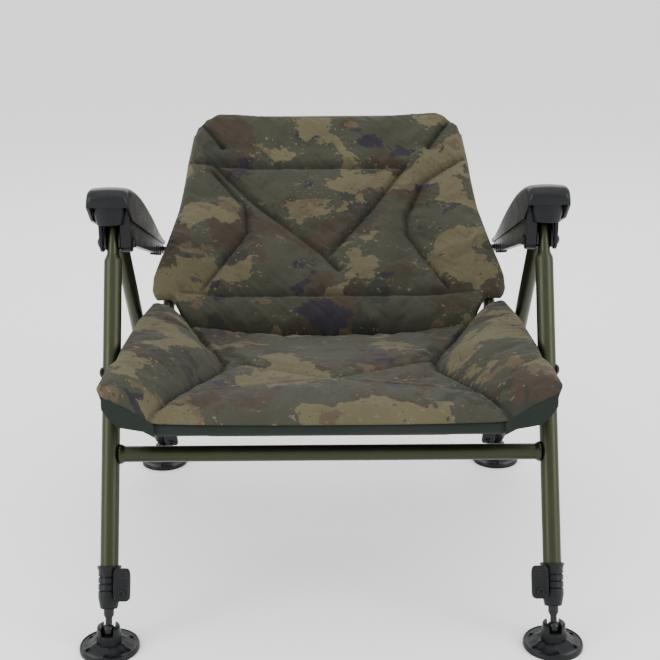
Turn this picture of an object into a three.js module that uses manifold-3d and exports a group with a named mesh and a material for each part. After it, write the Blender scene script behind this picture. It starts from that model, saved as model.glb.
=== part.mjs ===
// A low folding fishing chair: straight telescopic legs under two moulded armrests, a slung and padded
// seat, and a bent reclining back that hooks its pegs into a rack under each armrest.
// Millimetres, +Z up. The sitter faces -Y. Every place is worked out from the ball of a front foot
// (Y = 0) and the ground (Z = 0), and the whole chair is centred on its footprint at the end.
import * as THREE from 'three';
import { mergeVertices } from 'three/addons/utils/BufferGeometryUtils.js';
import Module from 'manifold-3d';

const wasm = await Module();
wasm.setup();

// Driving dimensions of the whole chair
const legSpacing = 600;          // between the centre lines of the left and right legs
const ballHeight = 28;           // ball of a mud foot above the ground
const pivotHeight = 510;         // armrest bolt above the ground
const pivotSetback = 220;        // armrest bolt behind the front ball
const rearPivotOffset = 48;      // rear leg pin behind the armrest bolt
const rearFootSetback = 610;     // rear ball behind the front ball
const seatPivotUp = 348;         // seat bolt above the ball, along the front leg
const crossbarUp = 236;          // front cross bar above the ball, along the front leg
const rearCrossbarUp = 104;      // rear cross bar above the ball, along the rear leg
const seatFrontReach = 119;      // front bar ahead of the seat bolt
const seatRearReach = 264;       // rail end behind the seat bolt
const seatSlope = 3;             // degrees that the seat rails fall to the rear
const backLowerAngle = 33;       // degrees above the horizontal
const backUpperAngle = 46;
const backLowerLength = 200;
const backUpperLength = 205;
const clearance = 0.3;           // between two pieces that touch or turn
const overrun = 2;               // how far a cutting tool runs past a face

// Tubes and rods
const frontTubeRadius = 12.5;
const rearTubeRadius = 11;
const innerLegRadius = 7;
const innerLegLength = 250;
const frameTubeRadius = 9.5;
const frontCrossbarRadius = 11;
const rearCrossbarRadius = 9;
const ballRadius = 9;
const boltRadius = 4;
const boltHeadRadius = 7.5;
const boltHeadHeight = 4;

const legX = legSpacing / 2;
const frontTop = new THREE.Vector2(pivotSetback, pivotHeight);
const rearTop = new THREE.Vector2(pivotSetback + rearPivotOffset, pivotHeight);
const frontBall = new THREE.Vector2(0, ballHeight);
const rearBall = new THREE.Vector2(rearFootSetback, ballHeight);
const chair = new THREE.Group();

// Finishes
const finishes = {
  olivePaint: { color: '#4b4d36', roughness: 0.42, metalness: 0.35 },
  blackPlastic: { color: '#1b1d1e', roughness: 0.48, metalness: 0 },
  darkSteel: { color: '#2b2d2e', roughness: 0.35, metalness: 0.8 },
  innerSteel: { color: '#3c3e36', roughness: 0.35, metalness: 0.7 },
  cushionCloth: { color: '#4a4a3e', roughness: 0.92, metalness: 0 },
  slingCloth: { color: '#232b26', roughness: 0.95, metalness: 0 },
};

// A closed geometry as a solid that can be joined and cut, and back again
function solid(geometry) {
  const bare = geometry.clone();
  bare.deleteAttribute('normal');
  bare.deleteAttribute('uv');
  const merged = mergeVertices(bare);
  return new wasm.Manifold(new wasm.Mesh({
    numProp: 3,
    vertProperties: Float32Array.from(merged.attributes.position.array),
    triVerts: Uint32Array.from(merged.index.array),
  }));
}

function geometryOf(body) {
  const mesh = body.getMesh();
  const geometry = new THREE.BufferGeometry();
  geometry.setAttribute('position', new THREE.BufferAttribute(Float32Array.from(mesh.vertProperties), 3));
  geometry.setIndex(new THREE.BufferAttribute(Uint32Array.from(mesh.triVerts), 1));
  return geometry;
}

// A named piece, put in a group
function piece(name, body, finish, group = chair) {
  const material = new THREE.MeshStandardMaterial(finishes[finish]);
  const mesh = new THREE.Mesh(body.isBufferGeometry ? body : geometryOf(body), material);
  mesh.name = name;
  group.add(mesh);
  return mesh;
}

// A group whose origin lies at (x, place.x, place.y) and that is turned about the X axis
function station(x, place, turn = 0, parent = chair) {
  const group = new THREE.Group();
  group.position.set(x, place.x, place.y);
  group.rotation.x = turn;
  parent.add(group);
  return group;
}

// Rods: across the chair (X), through a leg (Y) or along it (Z)
function rodX(radius, from, to, y = 0, z = 0, sides = 14) {
  const rod = new THREE.CylinderGeometry(radius, radius, to - from, sides).rotateZ(Math.PI / 2);
  return solid(rod.translate((from + to) / 2, y, z));
}

function rodY(radius, from, to, x = 0, z = 0, sides = 14) {
  const rod = new THREE.CylinderGeometry(radius, radius, to - from, sides);
  return solid(rod.translate(x, (from + to) / 2, z));
}

function rodZ(radius, from, to, x = 0, y = 0, sides = 14) {
  const rod = new THREE.CylinderGeometry(radius, radius, to - from, sides).rotateX(Math.PI / 2);
  return solid(rod.translate(x, y, (from + to) / 2));
}

function block(x0, x1, y0, y1, z0, z1) {
  const box = new THREE.BoxGeometry(x1 - x0, y1 - y0, z1 - z0);
  return solid(box.translate((x0 + x1) / 2, (y0 + y1) / 2, (z0 + z1) / 2));
}

// A plate whose outline lies in the (Y, Z) plane, from x0 to x1
function plateX(outline, x0, x1, bevel = 0, curveSegments = 8) {
  const shape = outline instanceof THREE.Shape ? outline : new THREE.Shape(outline);
  const options = { depth: x1 - x0 - 2 * bevel, curveSegments, steps: 1, bevelEnabled: bevel > 0 };
  if (bevel > 0) {
    options.bevelThickness = bevel;
    options.bevelSize = bevel;
    options.bevelOffset = -bevel;
    options.bevelSegments = 2;
  }
  const plate = new THREE.ExtrudeGeometry(shape, options).translate(0, 0, bevel);
  const turned = new THREE.Matrix4().makeBasis(
    new THREE.Vector3(0, 1, 0), new THREE.Vector3(0, 0, 1), new THREE.Vector3(1, 0, 0));
  return solid(plate.applyMatrix4(turned).translate(x0, 0, 0));
}

// The outline that a belt makes round two or three circles given as [y, z, radius]
function beltShape(circles, steps = 7) {
  const points = [];
  for (const [y, z, radius] of circles) {
    for (let i = 0; i < steps * 2; i += 1) {
      const angle = Math.PI * i / steps;
      points.push(new THREE.Vector2(y + radius * Math.cos(angle), z + radius * Math.sin(angle)));
    }
  }
  points.sort((a, b) => a.x - b.x || a.y - b.y);
  const half = (list) => {
    const chain = [];
    for (const p of list) {
      while (chain.length > 1) {
        const a = chain[chain.length - 2];
        const b = chain[chain.length - 1];
        if ((b.x - a.x) * (p.y - a.y) - (b.y - a.y) * (p.x - a.x) > 0) break;
        chain.pop();
      }
      chain.push(p);
    }
    return chain.slice(0, -1);
  };
  return new THREE.Shape([...half(points), ...half([...points].reverse())]);
}

// A round tube along a path of points with rounded corners
function bentTube(corners, radius, bends, sides = 10) {
  const path = new THREE.CurvePath();
  let last = corners[0];
  for (let i = 1; i < corners.length - 1; i += 1) {
    const bend = bends[i - 1];
    const into = corners[i].clone().sub(corners[i - 1]).normalize().multiplyScalar(bend);
    const out = corners[i + 1].clone().sub(corners[i]).normalize().multiplyScalar(bend);
    const start = corners[i].clone().sub(into);
    const end = corners[i].clone().add(out);
    path.add(new THREE.LineCurve3(last, start));
    path.add(new THREE.QuadraticBezierCurve3(start, corners[i], end));
    last = end;
  }
  path.add(new THREE.LineCurve3(last, corners[corners.length - 1]));
  const points = [];
  for (const curve of path.curves) {
    const steps = curve.isLineCurve3 ? 1 : 5;
    for (let i = points.length ? 1 : 0; i <= steps; i += 1) points.push(curve.getPoint(i / steps));
  }
  const rings = [];
  let normal = null;
  for (let i = 0; i < points.length; i += 1) {
    const before = points[Math.max(i - 1, 0)];
    const after = points[Math.min(i + 1, points.length - 1)];
    const tangent = after.clone().sub(before).normalize();
    if (!normal) normal = new THREE.Vector3(0, 1, 0).cross(tangent).normalize();
    normal.sub(tangent.clone().multiplyScalar(normal.dot(tangent))).normalize();
    const binormal = tangent.clone().cross(normal);
    const ring = [];
    for (let k = 0; k < sides; k += 1) {
      const angle = 2 * Math.PI * k / sides;
      ring.push(points[i].clone()
        .addScaledVector(normal, radius * Math.cos(angle))
        .addScaledVector(binormal, radius * Math.sin(angle)));
    }
    rings.push(ring);
  }
  return skin(rings, points[0], points[points.length - 1]);
}

// A closed body through rings of points, with a point at each end
function skin(rings, first, last) {
  const count = rings[0].length;
  const vertices = [...rings.flat(), first, last];
  const triangles = [];
  for (let i = 0; i < rings.length - 1; i += 1) {
    for (let k = 0; k < count; k += 1) {
      const a = i * count + k;
      const b = i * count + (k + 1) % count;
      triangles.push(a, b, a + count, b, b + count, a + count);
    }
  }
  const start = rings.length * count;
  for (let k = 0; k < count; k += 1) {
    const next = (k + 1) % count;
    triangles.push(start, next, k);
    triangles.push(start + 1, start - count + k, start - count + next);
  }
  const geometry = new THREE.BufferGeometry();
  const flat = new Float32Array(vertices.flatMap((p) => [p.x, p.y, p.z]));
  geometry.setAttribute('position', new THREE.BufferAttribute(flat, 3));
  geometry.setIndex(triangles);
  return solid(geometry);
}

// Legs: each stands in its own station at the ball, with Z up the leg and X across the chair
const neckHalf = 8.4;            // half the width of the pressed neck at the top of a leg
const neckRadius = 11;           // its rounded end, seen from the side
const neckDrop = 12;             // where the neck starts, below the bolt
const rivetUp = 18;              // anti-turn rivet above the armrest bolt
const rivetRadius = 3;
const tubeBottomUp = 48;         // end of the outer tube inside its lock collar
const boreRoom = 28;             // bore of the tube above the inner leg's top end
const cheekThickness = 2.5;
const frontLean = Math.atan2(frontTop.x - frontBall.x, frontTop.y - frontBall.y);
const rearLean = Math.atan2(rearTop.x - rearBall.x, rearTop.y - rearBall.y);
const frontLength = frontTop.distanceTo(frontBall);
const rearLength = rearTop.distanceTo(rearBall);

function legTube(radius, length, withRivet) {
  const neckTop = withRivet ? rivetUp : 0;
  let body = rodZ(radius, tubeBottomUp, length - neckDrop);
  body = body.add(plateX(beltShape([
    [0, length + neckTop, neckRadius],
    [0, length - neckDrop - overrun, neckRadius],
  ]), -neckHalf, neckHalf));
  const boreTop = innerLegLength + boreRoom;
  body = body.subtract(rodZ(innerLegRadius + clearance, tubeBottomUp - overrun, boreTop));
  body = body.subtract(rodX(boltRadius + clearance, -radius - overrun, radius + overrun, 0, length));
  if (withRivet) {
    body = body.subtract(
      rodX(rivetRadius + clearance, -radius - overrun, radius + overrun, 0, length + rivetUp));
    body = body.subtract(rodX(boltRadius + clearance, -radius - overrun, radius + overrun, 0, seatPivotUp));
  }
  return body;
}

// Lock collar: a grooved split clamp with a flared lip, two lugs, a cross bolt and a flat lever
const collarBottomUp = 28.6;
const collarLength = 57.2;
const collarRadius = 14.6;
const lipRadius = 16.2;
const tipRadius = 11.5;
const grooveDepth = 1.4;
const grooveWidth = 2.4;
const grooveShares = [0.42, 0.58, 0.74];
const lugReach = 27;
const slitWidth = 2;
const lockBoltOut = 20;
const lockBoltUp = 49.5;
const lockBoltRadius = 3;
const lockHeadRadius = 5.2;
const lockHeadHeight = 4;
const lugHalfHeight = 11;
const leverThickness = 5.5;
const leverWidth = 23;
const leverBelow = 10;
const leverAbove = 34;
const leverCorner = 5;
const leverDish = 1.6;
const lugHalfDepth = Math.sqrt(lipRadius ** 2 - (lockBoltOut - leverWidth / 2) ** 2) + clearance;

function lockCollar(tubeRadius, inward) {
  const top = collarBottomUp + collarLength;
  const profile = [
    [0, collarBottomUp], [tipRadius, collarBottomUp],
    [collarRadius, collarBottomUp + collarLength * 0.26],
  ];
  for (const share of grooveShares) {
    const level = collarBottomUp + collarLength * share;
    profile.push([collarRadius, level - grooveWidth / 2]);
    profile.push([collarRadius - grooveDepth, level]);
    profile.push([collarRadius, level + grooveWidth / 2]);
  }
  profile.push([collarRadius, top - collarLength * 0.12]);
  profile.push([lipRadius, top - collarLength * 0.05], [lipRadius, top], [0, top]);
  const barrel = new THREE.LatheGeometry(profile.map(([r, z]) => new THREE.Vector2(r, z)), 14);
  let body = solid(barrel.rotateX(Math.PI / 2));
  const lugFrom = inward * (collarRadius - overrun * 2);
  const lugTo = inward * lugReach;
  body = body.add(block(Math.min(lugFrom, lugTo), Math.max(lugFrom, lugTo), -lugHalfDepth, lugHalfDepth,
    lockBoltUp - lugHalfHeight, lockBoltUp + lugHalfHeight));
  body = body.subtract(rodZ(innerLegRadius + clearance, collarBottomUp - overrun, top));
  body = body.subtract(rodZ(tubeRadius + clearance, tubeBottomUp - clearance, top + overrun));
  const slitTo = inward * (lugReach + overrun);
  body = body.subtract(block(Math.min(0, slitTo), Math.max(0, slitTo), -slitWidth / 2, slitWidth / 2,
    collarBottomUp - overrun, lockBoltUp + lugHalfHeight + overrun));
  const reach = lugHalfDepth + overrun;
  return body.subtract(
    rodY(lockBoltRadius + clearance, -reach, reach, inward * lockBoltOut, lockBoltUp));
}

function lockLever(inward) {
  const half = leverWidth / 2;
  const shape = new THREE.Shape();
  const low = -leverBelow;
  shape.moveTo(-half + leverCorner, low);
  shape.lineTo(half - leverCorner, low);
  shape.absarc(half - leverCorner, low + leverCorner, leverCorner, -Math.PI / 2, 0);
  shape.absarc(half - leverCorner, leverAbove - leverCorner, leverCorner, 0, Math.PI / 2);
  shape.absarc(-half + leverCorner, leverAbove - leverCorner, leverCorner, Math.PI / 2, Math.PI);
  shape.absarc(-half + leverCorner, low + leverCorner, leverCorner, Math.PI, Math.PI * 1.5);
  const plate = new THREE.ExtrudeGeometry(shape, {
    depth: leverThickness - leverDish, curveSegments: 3,
    bevelThickness: leverDish, bevelSize: leverDish, bevelOffset: -leverDish, bevelSegments: 1,
    bevelEnabled: true,
  });
  const front = -lugHalfDepth - clearance;
  const body = solid(plate.translate(0, 0, leverDish).rotateX(Math.PI / 2));
  const box = body.boundingBox();
  const placed = body.translate([inward * lockBoltOut, front - box.max[1], lockBoltUp]);
  const depth = leverThickness + leverDish * 2;
  return placed.subtract(rodY(lockBoltRadius + clearance, front - depth - overrun, front + overrun,
    inward * lockBoltOut, lockBoltUp));
}

function lockBolt(inward) {
  const x = inward * lockBoltOut;
  const leverFront = -lugHalfDepth - clearance * 2 - leverThickness - leverDish;
  const rear = lugHalfDepth + clearance;
  let body = rodY(lockBoltRadius, leverFront - lockHeadHeight, rear + lockHeadHeight, x, lockBoltUp);
  body = body.add(rodY(lockHeadRadius, leverFront - lockHeadHeight, leverFront, x, lockBoltUp));
  body = body.add(rodY(lockHeadRadius, rear, rear + lockHeadHeight, x, lockBoltUp, 6));
  return body.subtract(rodY(lockBoltRadius * 0.8, leverFront - lockHeadHeight - overrun,
    leverFront - lockHeadHeight / 2, x, lockBoltUp, 6));
}

// Inner leg: a rod that slides in the tube, drawn in to a neck over its ball
const ballNeckRadius = 4.5;
const ballNeckLength = 10;

function innerLeg() {
  const shoulder = ballRadius + ballNeckLength;
  const rod = [
    [0, ballRadius * 0.5], [ballNeckRadius, ballRadius * 0.5], [ballNeckRadius, ballRadius * 1.2],
    [innerLegRadius, shoulder], [innerLegRadius, innerLegLength], [0, innerLegLength],
  ];
  const shaft = new THREE.LatheGeometry(rod.map(([r, z]) => new THREE.Vector2(r, z)), 14);
  return solid(shaft.rotateX(Math.PI / 2)).add(solid(new THREE.SphereGeometry(ballRadius, 14, 8)));
}

// Mud foot: a dished disc with drain holes and a socket whose two lobes hold the ball
const footRadius = 40.5;
const footRimHeight = 3.5;
const footRimDrop = 6;
const hubRadius = 15.5;
const lobeUp = 8;
const swingSlot = 16;
const footHoles = 6;
const footHoleRadius = 2.6;
const footHoleRing = 31;
const footRecess = 3;

function mudFoot() {
  const floor = -ballHeight;
  const plateTop = floor + footRimDrop;
  const profile = [
    [0, floor + footRecess], [footRadius * 0.8, floor + footRecess], [footRadius * 0.86, floor],
    [footRadius, floor], [footRadius, floor + footRimHeight], [footRadius * 0.93, plateTop],
    [footRadius * 0.62, plateTop + footRimDrop * 0.4], [hubRadius + ballRadius * 0.4, plateTop + footRimDrop],
    [hubRadius, -ballRadius * 0.6], [hubRadius, lobeUp * 0.6], [hubRadius * 0.82, lobeUp], [0, lobeUp],
  ];
  const dish = new THREE.LatheGeometry(profile.map(([r, z]) => new THREE.Vector2(r, z)), 16);
  let body = solid(dish.rotateX(Math.PI / 2));
  body = body.subtract(solid(new THREE.SphereGeometry(ballRadius + clearance * 2, 14, 8)));
  body = body.subtract(rodZ(ballRadius * 0.86, 0, lobeUp + overrun));
  body = body.subtract(block(-swingSlot / 2, swingSlot / 2, -footRadius, footRadius,
    -ballRadius * 0.25, lobeUp + overrun));
  for (let i = 0; i < footHoles; i += 1) {
    const angle = 2 * Math.PI * (i + 0.5) / footHoles;
    body = body.subtract(rodZ(footHoleRadius, floor - overrun, plateTop + footRimDrop,
      footHoleRing * Math.cos(angle), footHoleRing * Math.sin(angle), 6));
  }
  return body;
}

function furnishLeg(name, side, ball, lean, tubeRadius, length) {
  const inward = -side;
  const hand = side < 0 ? 'left' : 'right';
  const leg = station(side * legX, ball, -lean);
  piece(`${name}_leg_${hand}`, legTube(tubeRadius, length, name === 'front'), 'olivePaint', leg);
  piece(`${name}_lock_collar_${hand}`, lockCollar(tubeRadius, inward), 'blackPlastic', leg);
  piece(`${name}_lock_lever_${hand}`, lockLever(inward), 'blackPlastic', leg);
  piece(`${name}_lock_bolt_${hand}`, lockBolt(inward), 'darkSteel', leg);
  piece(`${name}_inner_leg_${hand}`, innerLeg(), 'innerSteel', leg);
  piece(`${name}_foot_${hand}`, mudFoot(), 'blackPlastic', station(side * legX, ball));
  return leg;
}

for (const side of [-1, 1]) {
  furnishLeg('front', side, frontBall, frontLean, frontTubeRadius, frontLength);
  furnishLeg('rear', side, rearBall, rearLean, rearTubeRadius, rearLength);
}

// Cross bars between the left and right legs, with a weld bead at each end
const beadReach = 5;
const beadGrowth = 2.2;

function crossbar(radius, tubeRadius) {
  const end = legX - tubeRadius - clearance;
  let body = rodX(radius, -end, end);
  for (const side of [-1, 1]) {
    const bead = new THREE.CylinderGeometry(radius, radius + beadGrowth, beadReach, 14);
    body = body.add(solid(bead.rotateZ(side * Math.PI / 2).translate(side * (end - beadReach / 2), 0, 0)));
  }
  return body;
}

function upLeg(ball, lean, distance) {
  return new THREE.Vector2(ball.x + distance * Math.sin(lean), ball.y + distance * Math.cos(lean));
}

piece('front_crossbar', crossbar(frontCrossbarRadius, frontTubeRadius), 'olivePaint',
  station(0, upLeg(frontBall, frontLean, crossbarUp)));
piece('rear_crossbar', crossbar(rearCrossbarRadius, rearTubeRadius), 'olivePaint',
  station(0, upLeg(rearBall, rearLean, rearCrossbarUp)));

// Leg heads: two cheek plates on a rivet carry the rear leg's pin, and the armrest bolt passes through
const cheekInner = neckHalf + clearance;
const cheekOuter = cheekInner + cheekThickness;
const earInner = cheekOuter + clearance * 4;
const outerEarThickness = 5;
const armHalfWidth = 29;
const armWall = 3.5;
const innerEarEdge = armHalfWidth - armWall / 2;
const pinHeadHeight = 2;

for (const side of [-1, 1]) {
  const hand = side < 0 ? 'left' : 'right';
  const head = station(side * legX, frontTop);
  const rivetY = rivetUp * Math.sin(frontLean);
  const rivetZ = rivetUp * Math.cos(frontLean);
  const outline = beltShape([[0, 0, neckRadius], [rivetY, rivetZ, neckRadius * 0.8],
    [rearPivotOffset, 0, neckRadius]]);
  let cheeks = plateX(outline, cheekInner, cheekOuter).add(plateX(outline, -cheekOuter, -cheekInner));
  const reach = cheekOuter + overrun;
  cheeks = cheeks.subtract(rodX(boltRadius + clearance, -reach, reach));
  cheeks = cheeks.subtract(rodX(boltRadius + clearance, -reach, reach, rearPivotOffset));
  cheeks = cheeks.add(rodX(rivetRadius, -cheekOuter, cheekOuter, rivetY, rivetZ));
  piece(`leg_hinge_cheeks_${hand}`, cheeks, 'darkSteel', head);

  const pinEnd = cheekOuter + clearance;
  let pin = rodX(boltRadius, -pinEnd - pinHeadHeight, pinEnd + pinHeadHeight, rearPivotOffset);
  pin = pin.add(rodX(boltHeadRadius, pinEnd, pinEnd + pinHeadHeight, rearPivotOffset));
  pin = pin.add(rodX(boltHeadRadius, -pinEnd - pinHeadHeight, -pinEnd, rearPivotOffset));
  piece(`rear_leg_pin_${hand}`, pin, 'darkSteel', head);

  const outEnd = earInner + outerEarThickness + clearance;
  const inEnd = innerEarEdge + clearance;
  const from = side > 0 ? -inEnd : -outEnd;
  const to = side > 0 ? outEnd : inEnd;
  let bolt = rodX(boltRadius, from - boltHeadHeight, to + boltHeadHeight);
  bolt = bolt.add(rodX(boltHeadRadius, to, to + boltHeadHeight, 0, 0, side > 0 ? 14 : 6));
  bolt = bolt.add(rodX(boltHeadRadius, from - boltHeadHeight, from, 0, 0, side > 0 ? 6 : 14));
  piece(`armrest_bolt_${hand}`, bolt, 'darkSteel', head);
}

// Seat frame: two rails bolted inside the front legs, a front bar that dips between them, a rear bar
const railX = legX - frontTubeRadius - clearance * 4 - frameTubeRadius;
const seatPivot = upLeg(frontBall, frontLean, seatPivotUp);
const slope = THREE.MathUtils.degToRad(seatSlope);
const frontBarDip = 38;          // of the front bar below the rails
const frontBarInset = 44.8;      // ends of the front bar's straight stretch, in from the rails
const frontBarHalf = railX - frontBarInset;
const frontBarBend = 16;
const rearBarAhead = 30;         // rear bar ahead of the rails' ends
const rearBarDrop = 36;
const rearBarRadius = 7;
const rearBarTuck = 3.2;         // how far the rear bar's slanted ends reach up to the rails
const seat = station(0, seatPivot, -slope);

for (const side of [-1, 1]) {
  const hand = side < 0 ? 'left' : 'right';
  const railFront = -seatFrontReach + frameTubeRadius + clearance;
  let rail = rodY(frameTubeRadius, railFront, seatRearReach, side * railX);
  rail = rail.subtract(rodX(boltRadius + clearance, side * railX - frameTubeRadius - overrun,
    side * railX + frameTubeRadius + overrun));
  piece(`seat_rail_${hand}`, rail, 'olivePaint', seat);
  const boltStation = station(0, seatPivot);
  const outer = side * (legX + frontTubeRadius + clearance);
  const inner = side * (railX - frameTubeRadius - clearance);
  const headOut = outer + side * boltHeadHeight;
  const headIn = inner - side * boltHeadHeight;
  let bolt = rodX(boltRadius, Math.min(headOut, headIn), Math.max(headOut, headIn));
  bolt = bolt.add(rodX(boltHeadRadius, Math.min(outer, headOut), Math.max(outer, headOut)));
  bolt = bolt.add(rodX(boltHeadRadius, Math.min(inner, headIn), Math.max(inner, headIn), 0, 0, 6));
  piece(`seat_bolt_${hand}`, bolt, 'darkSteel', boltStation);
}

const frontBarCorners = [
  [-railX, 0], [-frontBarHalf, -frontBarDip], [frontBarHalf, -frontBarDip], [railX, 0],
].map(([x, z]) => new THREE.Vector3(x, -seatFrontReach, z));
const barBends = [frontBarBend, frontBarBend];
piece('seat_front_bar', bentTube(frontBarCorners, frameTubeRadius, barBends), 'olivePaint', seat);
const rearBarY = seatRearReach - rearBarAhead;
const rearBarCorners = [
  [-railX, -frameTubeRadius - clearance], [-railX + rearBarDrop, -rearBarDrop - frameTubeRadius],
  [railX - rearBarDrop, -rearBarDrop - frameTubeRadius], [railX, -frameTubeRadius - clearance],
].map(([x, z]) => new THREE.Vector3(x, rearBarY, z - rearBarRadius + rearBarTuck));
piece('seat_rear_bar', bentTube(rearBarCorners, rearBarRadius, barBends), 'olivePaint', seat);

// Back hinge: a plate on each rail carries a pin above the rail, and the back turns on the two pins
const hingeUp = 18;              // pin above the rail
const hingeInset = 6;            // pin ahead of the rails' ends
const hingeBack = seatRearReach - hingeInset;
const hingePlateThickness = 2.4;
const backTubeX = railX - frameTubeRadius - clearance * 2 - hingePlateThickness - frameTubeRadius;

for (const side of [-1, 1]) {
  const hand = side < 0 ? 'left' : 'right';
  const near = side * (railX - frameTubeRadius - clearance);
  const far = near - side * hingePlateThickness;
  const outline = beltShape([[hingeBack, hingeUp, frameTubeRadius],
    [hingeBack - frameTubeRadius * 3, 0, frameTubeRadius * 0.8],
    [hingeBack, 0, frameTubeRadius * 0.8]]);
  let plate = plateX(outline, Math.min(near, far), Math.max(near, far));
  plate = plate.subtract(rodX(boltRadius + clearance, Math.min(near, far) - overrun,
    Math.max(near, far) + overrun, hingeBack, hingeUp));
  piece(`back_hinge_plate_${hand}`, plate, 'darkSteel', seat);
  const outEnd = near + side * (clearance + pinHeadHeight);
  const inEnd = side * (backTubeX - frameTubeRadius - clearance - pinHeadHeight);
  let pin = rodX(boltRadius, Math.min(outEnd, inEnd), Math.max(outEnd, inEnd), hingeBack, hingeUp);
  const headIn = inEnd + side * pinHeadHeight;
  pin = pin.add(rodX(boltHeadRadius, Math.min(inEnd, headIn), Math.max(inEnd, headIn), hingeBack, hingeUp));
  piece(`back_hinge_pin_${hand}`, pin, 'darkSteel', seat);
}

// Back frame: one bent tube, kinked at half height, with a recline peg standing out of each side
const backHinge = new THREE.Vector2(hingeBack, hingeUp)
  .rotateAround(new THREE.Vector2(), -slope).add(seatPivot);
const lowerTurn = THREE.MathUtils.degToRad(backLowerAngle);
const kinkTurn = THREE.MathUtils.degToRad(backUpperAngle - backLowerAngle);
const kinkInset = 14.8;          // of the side tubes at the kink, from where they stand at the hinge
const topInset = 32.8;
const backKinkX = backTubeX - kinkInset;
const backTopX = backTubeX - topInset;
const backTopBend = 55;
const backKinkBend = 30;
const pegUp = 136;
const pegRadius = 4;
const pegShort = 15;             // peg tips inside the legs' centre lines
const pegReach = legX - pegShort;
const pegCollarRadius = 6.5;
const pegCollarLength = 4;
const back = station(0, backHinge, lowerTurn);

// A point of the back in its own frame: up the tube's rounded kink from the hinge, then forward of it
function backPoint(x, up, out = 0) {
  const start = backLowerLength - backKinkBend;
  const t = THREE.MathUtils.clamp((up - start) / (2 * backKinkBend), 0, 1);
  const turn = kinkTurn * t;
  const beyond = Math.max(up - backLowerLength - backKinkBend, 0);
  const rise = backKinkBend * t * t + beyond;
  const run = Math.min(up, start) + 2 * t * (1 - t) * backKinkBend + t * t * backKinkBend;
  return new THREE.Vector3(x, run + rise * Math.cos(kinkTurn) - out * Math.sin(turn),
    rise * Math.sin(kinkTurn) + out * Math.cos(turn));
}

const backTop = backLowerLength + backUpperLength;
const backCorners = [
  backPoint(-backTubeX, 0), new THREE.Vector3(-backKinkX, backLowerLength, 0), backPoint(-backTopX, backTop),
  backPoint(backTopX, backTop), new THREE.Vector3(backKinkX, backLowerLength, 0), backPoint(backTubeX, 0),
];
const backBends = [backKinkBend, backTopBend, backTopBend, backKinkBend];

function backTube() {
  const first = backCorners[0].clone().sub(backCorners[1]).normalize().multiplyScalar(frameTubeRadius)
    .add(backCorners[0]);
  const last = first.clone().setX(-first.x);
  const line = [first, ...backCorners.slice(1, -1), last];
  let body = bentTube(line, frameTubeRadius, backBends);
  for (const side of [-1, 1]) {
    const x = side * backTubeX;
    body = body.subtract(rodX(boltRadius + clearance, x - frameTubeRadius * 2, x + frameTubeRadius * 2));
  }
  return body;
}

piece('back_frame', backTube(), 'olivePaint', back);
for (const side of [-1, 1]) {
  const hand = side < 0 ? 'left' : 'right';
  const tubeX = backTubeX + (backKinkX - backTubeX) * pegUp / backLowerLength;
  const root = side * (tubeX + frameTubeRadius + clearance * 2);
  const tip = side * pegReach;
  const collar = root + side * pegCollarLength;
  let peg = rodX(pegRadius, Math.min(root, tip), Math.max(root, tip), pegUp, 0);
  peg = peg.add(rodX(pegCollarRadius, Math.min(root, collar), Math.max(root, collar), pegUp, 0));
  piece(`recline_peg_${hand}`, peg, 'darkSteel', back);
}

// Armrests: a moulded channel open below, with two ears on the bolt and a rib that ends in the rack
const armLength = 363;
const armNose = 34;              // nose ahead of the bolt
const armDrop = 165;             // from the crest to the rear tip
const armCrest = 79;             // crest above the bolt
const armBevel = 5;
const earRadius = 13.5;
const ribThickness = 8;
const notchPitch = 21;
const notchCount = 4;
const notchDepth = 8;
const pegPlace = new THREE.Vector2(pegUp, 0).rotateAround(new THREE.Vector2(), lowerTurn)
  .add(backHinge).sub(frontTop);
const armTopShares = [
  [0.006, 0.14], [0, 0.067], [0.022, 0.012], [0.055, 0], [0.105, 0.018], [0.209, 0.085], [0.377, 0.227],
  [0.609, 0.482], [0.832, 0.764], [0.945, 0.897], [0.989, 0.939], [1, 0.976], [0.983, 1],
];
const armLowShares = [[0.961, 0.988], [0.085, 0.291]];

function armPoint([y, z]) {
  return new THREE.Vector2(y * armLength - armNose, armCrest - z * armDrop);
}

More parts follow.
